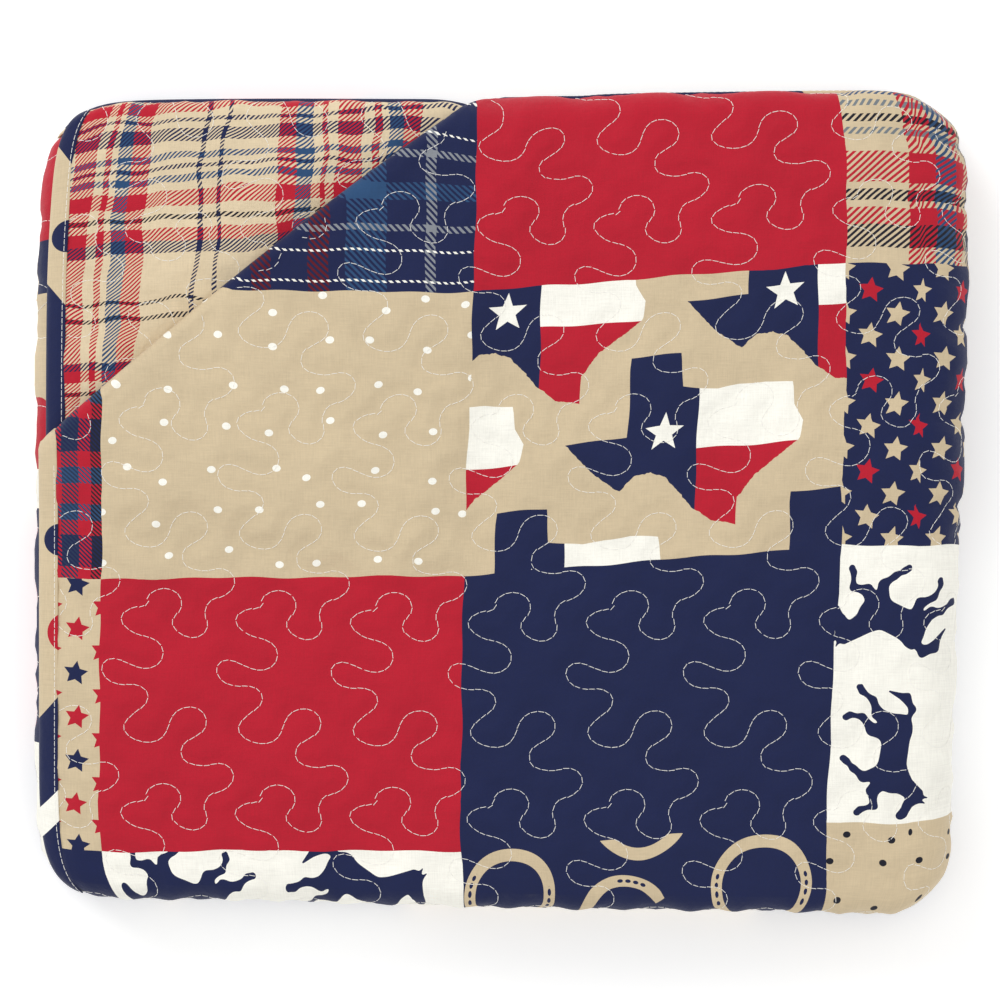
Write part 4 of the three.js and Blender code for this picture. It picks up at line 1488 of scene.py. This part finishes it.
# Lays a stitch at every step of the sewing lines it is given
def stitchTree():
    tree = bpy.data.node_groups.new("sewnLine", "GeometryNodeTree")
    tree.interface.new_socket("Lines", in_out="INPUT", socket_type="NodeSocketGeometry")
    for name in ("Pitch", "Length", "Thread", "Rise"):
        tree.interface.new_socket(name, in_out="INPUT", socket_type="NodeSocketFloat")
    tree.interface.new_socket("Thread material", in_out="INPUT", socket_type="NodeSocketMaterial")
    tree.interface.new_socket("Stitches", in_out="OUTPUT", socket_type="NodeSocketGeometry")
    given = tree.nodes.new("NodeGroupInput").outputs

    def step(kind, inputs, **settings):
        return addNode(tree, kind, inputs, **settings).outputs[0]

    curve = step("GeometryNodeMeshToCurve", {"Mesh": given["Lines"]})
    steps = step("GeometryNodeResampleCurve", {"Curve": curve, "Length": given["Pitch"]}, mode="LENGTH")
    tangent = step("GeometryNodeInputTangent", {})
    away = step("GeometryNodeInputNamedAttribute", {"Name": "away"}, data_type="FLOAT_VECTOR")
    along = step("FunctionNodeAlignRotationToVector", {"Vector": tangent}, axis="X")
    upright = step("FunctionNodeAlignRotationToVector", {"Rotation": along, "Vector": away},
                   axis="Z", pivot_axis="X")
    back = step("ShaderNodeCombineXYZ", {0: calc(tree, "MULTIPLY", given["Length"], -0.5)})
    bow = step("ShaderNodeCombineXYZ", {2: calc(tree, "MULTIPLY", given["Rise"], 2)})
    reach = step("ShaderNodeCombineXYZ", {0: calc(tree, "MULTIPLY", given["Length"], 0.5)})
    arc = step("GeometryNodeCurveQuadraticBezier",
               {"Resolution": 3, "Start": back, "Middle": bow, "End": reach})
    ring = step("GeometryNodeCurvePrimitiveCircle", {"Resolution": 4, "Radius": given["Thread"]})
    thread = step("GeometryNodeCurveToMesh", {"Curve": arc, "Profile Curve": ring, "Fill Caps": True})
    laid = step("GeometryNodeInstanceOnPoints",
                {"Points": steps, "Instance": thread, "Rotation": upright})
    real = step("GeometryNodeRealizeInstances", {"Geometry": laid})
    coloured = step("GeometryNodeSetMaterial", {"Geometry": real, "Material": given["Thread material"]})
    tree.links.new(coloured, tree.nodes.new("NodeGroupOutput").inputs[0])
    return tree


sewnLine = stitchTree()


# Sews along each line of places, laid on the surface of the piece beneath
def sew(name, lines, beneath, pitch, length, material):
    surface = BVHTree.FromPolygons([v.co for v in beneath.data.vertices],
                                   [tuple(p.vertices) for p in beneath.data.polygons])
    places, aways, edges = [], [], []
    for line in lines:
        first = len(places)
        for point in line:
            nearest, normal, _face, _distance = surface.find_nearest(Vector(point * mm))
            places.append(nearest)
            aways.append(normal)
        edges.extend((i, i + 1) for i in range(first, len(places) - 1))
    data = bpy.data.meshes.new(name)
    data.from_pydata(places, edges, [])
    attribute = data.attributes.new("away", "FLOAT_VECTOR", "POINT")
    attribute.data.foreach_set("vector", np.array(aways).ravel())
    piece = bpy.data.objects.new(name, data)
    bpy.context.scene.collection.objects.link(piece)
    modifier = piece.modifiers.new("sewnLine", "NODES")
    modifier.node_group = sewnLine
    values = {
        "Pitch": pitch * mm, "Length": length * mm, "Thread": stitching["thread"] * mm,
        "Rise": stitching["rise"] * mm, "Thread material": material,
    }
    for item in sewnLine.interface.items_tree:
        if item.in_out == "INPUT" and item.name in values:
            modifier[item.identifier] = values[item.name]
    ready = piece.evaluated_get(bpy.context.evaluated_depsgraph_get())
    made = bpy.data.meshes.new_from_object(ready)
    for vertex in made.vertices:
        vertex.co.z = max(vertex.co.z, 0)  # the underside lies flat
    piece.modifiers.remove(modifier)
    piece.data = made
    return piece


# The parts of a line that a mask keeps, each at least a few stitches long
def runs(points, kept):
    breaks = np.flatnonzero(np.diff(np.concatenate([[0], kept.astype(int), [0]])))
    ends = zip(breaks[::2], breaks[1::2])
    return [points[low:high] for low, high in ends if high - low > stitching["leastRun"]]


def frontShows(across, down):
    onTop = (down < topPlyEnd) & (across < stripStops[2] - 2) & (pastCrease(across, down) < -1)
    roundBottom = (down >= topPlyEnd) & (down < lowPlyStart)
    onLeftOrBelow = (down >= lowPlyStart) & (down < lowPlyEnd) & (across > stripStops[3])
    return onTop | roundBottom | onLeftOrBelow


def reverseShows(across, down):
    past = pastCrease(across + folding["topPlySlip"], clothLength - down)
    return (past > bendLength + 2) & (down > secondPlyStart) & (across < topStripEnd)


def quiltingLines():
    phaseAcross, phaseDown = quilting["rowPhase"]
    spacing, repeat = quilting["rowSpacing"], quilting["rowRepeat"]
    first = math.floor(-phaseDown / repeat)
    row = rowCurve(range(first, math.ceil((clothLength - phaseDown) / repeat)))
    margin = quilt["inset"] + 2
    lines = []
    last = math.ceil((surfaceStops[-1] - phaseAcross) / spacing)
    for n in range(math.floor(-phaseAcross / spacing), last + 1):
        rowAcross, rowDown = row[:, 0] + phaseAcross + n * spacing, row[:, 1] + phaseDown
        shift = drift(rowAcross, rowDown)
        shift = drift(rowAcross + shift[0], rowDown + shift[1])
        across = np.interp(rowAcross + shift[0], surfaceStops, pathStops)
        down = rowDown + shift[1]
        onCloth = (across > margin) & (across < clothWidth - margin)
        onCloth = onCloth & (down > margin) & (down < clothLength - margin)
        height = halfThickness(across, down) + frontRelief(across, down)
        lines += runs(place(across, down, height), onCloth & frontShows(across, down))
        depth = halfThickness(across, down) + reverseRelief(across, down)
        lines += runs(place(across, down, -depth), onCloth & reverseShows(across, down))
    return lines


# The binding's own stitches, along the edges that show on top
def bindingLines():
    inward, height, step = stitching["bindingInward"], binding["crown"], stitching["bindingStep"]
    clear, onward = stitching["bindingClear"], stitching["bindingOnward"]
    leftDown = np.arange(turnedCorner["down"] + clear, lowPlyStart, step)
    reverseDown = np.arange(clothLength - turnedCorner["down"] - onward, clothLength - inward, step)
    topAcross = np.arange(turnedCorner["across"] + clear, stripStops[2], step)
    return [
        place(inward, leftDown, height),
        place(inward, reverseDown, -height),
        place(topAcross, inward, height),
    ]


quiltingThread = plainMaterial("quiltingThread", ink("thread")[:3])
quiltStitches = sew("quiltStitches", quiltingLines(), quiltedCloth, stitching["pitch"],
                    stitching["length"], quiltingThread)
bindingStitches = sew("bindingStitches", bindingLines(), boundEdge, stitching["bindingPitch"],
                      stitching["bindingLength"], quiltingThread)
print("stitches:", len(quiltStitches.data.polygons), "and", len(bindingStitches.data.polygons), "faces")

for piece, slotName in ((quiltedCloth, "quilted_cotton"), (boundEdge, "bound_edge"),
                        (quiltStitches, "quilted_cotton"), (bindingStitches, "bound_edge")):
    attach(piece, "root")
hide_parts("quilt")
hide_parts("binding")

stage = {
    "cameraHeight": 4.2,  # metres above the floor
    "frameWidth": 0.4575,  # metres of the package's upper side across the whole picture
    "frameLevel": 0.045,
    "focalLength": 300,
    "floorSize": 30,
    "floorShade": 0.95,
    "floorGlow": 0.28,
    "surround": 0.62,
    # each light's place, size and power
    "lights": {
        "key": ((-1.4, 1.7, 2.0), 1.6, 34),
        "fill": ((1.8, -1.2, 2.2), 2.6, 12),
        "top": ((0, 0, 3.2), 2.0, 10),
    },
}


def buildStage():
    data = bpy.data.meshes.new("floor")
    reach = stage["floorSize"] / 2
    corners = [(-reach, -reach, 0), (reach, -reach, 0), (reach, reach, 0), (-reach, reach, 0)]
    data.from_pydata(corners, [], [(0, 1, 2, 3)])
    floor = bpy.data.objects.new("floor", data)
    paint = plainMaterial("floorPaint", [stage["floorShade"]] * 3)
    shader = paint.node_tree.nodes["Principled BSDF"]
    shader.inputs["Emission Color"].default_value = (1, 1, 1, 1)
    shader.inputs["Emission Strength"].default_value = stage["floorGlow"]
    floor.data.materials.append(paint)
    bpy.context.scene.collection.objects.link(floor)
    camera = bpy.data.objects.new("camera", bpy.data.cameras.new("camera"))
    bpy.context.scene.collection.objects.link(camera)
    distance = stage["cameraHeight"] - stage["frameLevel"]
    camera.location = (0, 0, stage["cameraHeight"])
    camera.data.lens = stage["focalLength"]
    camera.data.sensor_width = stage["frameWidth"] / distance * stage["focalLength"]
    camera.data.clip_end = 100
    bpy.context.scene.camera = camera
    for name, (location, size, power) in stage["lights"].items():
        light = bpy.data.objects.new(name, bpy.data.lights.new(name, "AREA"))
        light.data.energy = power
        light.data.size = size
        light.location = location
        light.rotation_euler = (-Vector(location)).to_track_quat("-Z", "Y").to_euler()
        bpy.context.scene.collection.objects.link(light)
    world = bpy.data.worlds.new("studio")
    world.use_nodes = True
    world.node_tree.nodes["Background"].inputs["Color"].default_value = (1, 1, 1, 1)
    world.node_tree.nodes["Background"].inputs["Strength"].default_value = stage["surround"]
    bpy.context.scene.world = world
    bpy.context.scene.view_settings.view_transform = "Standard"


buildStage()
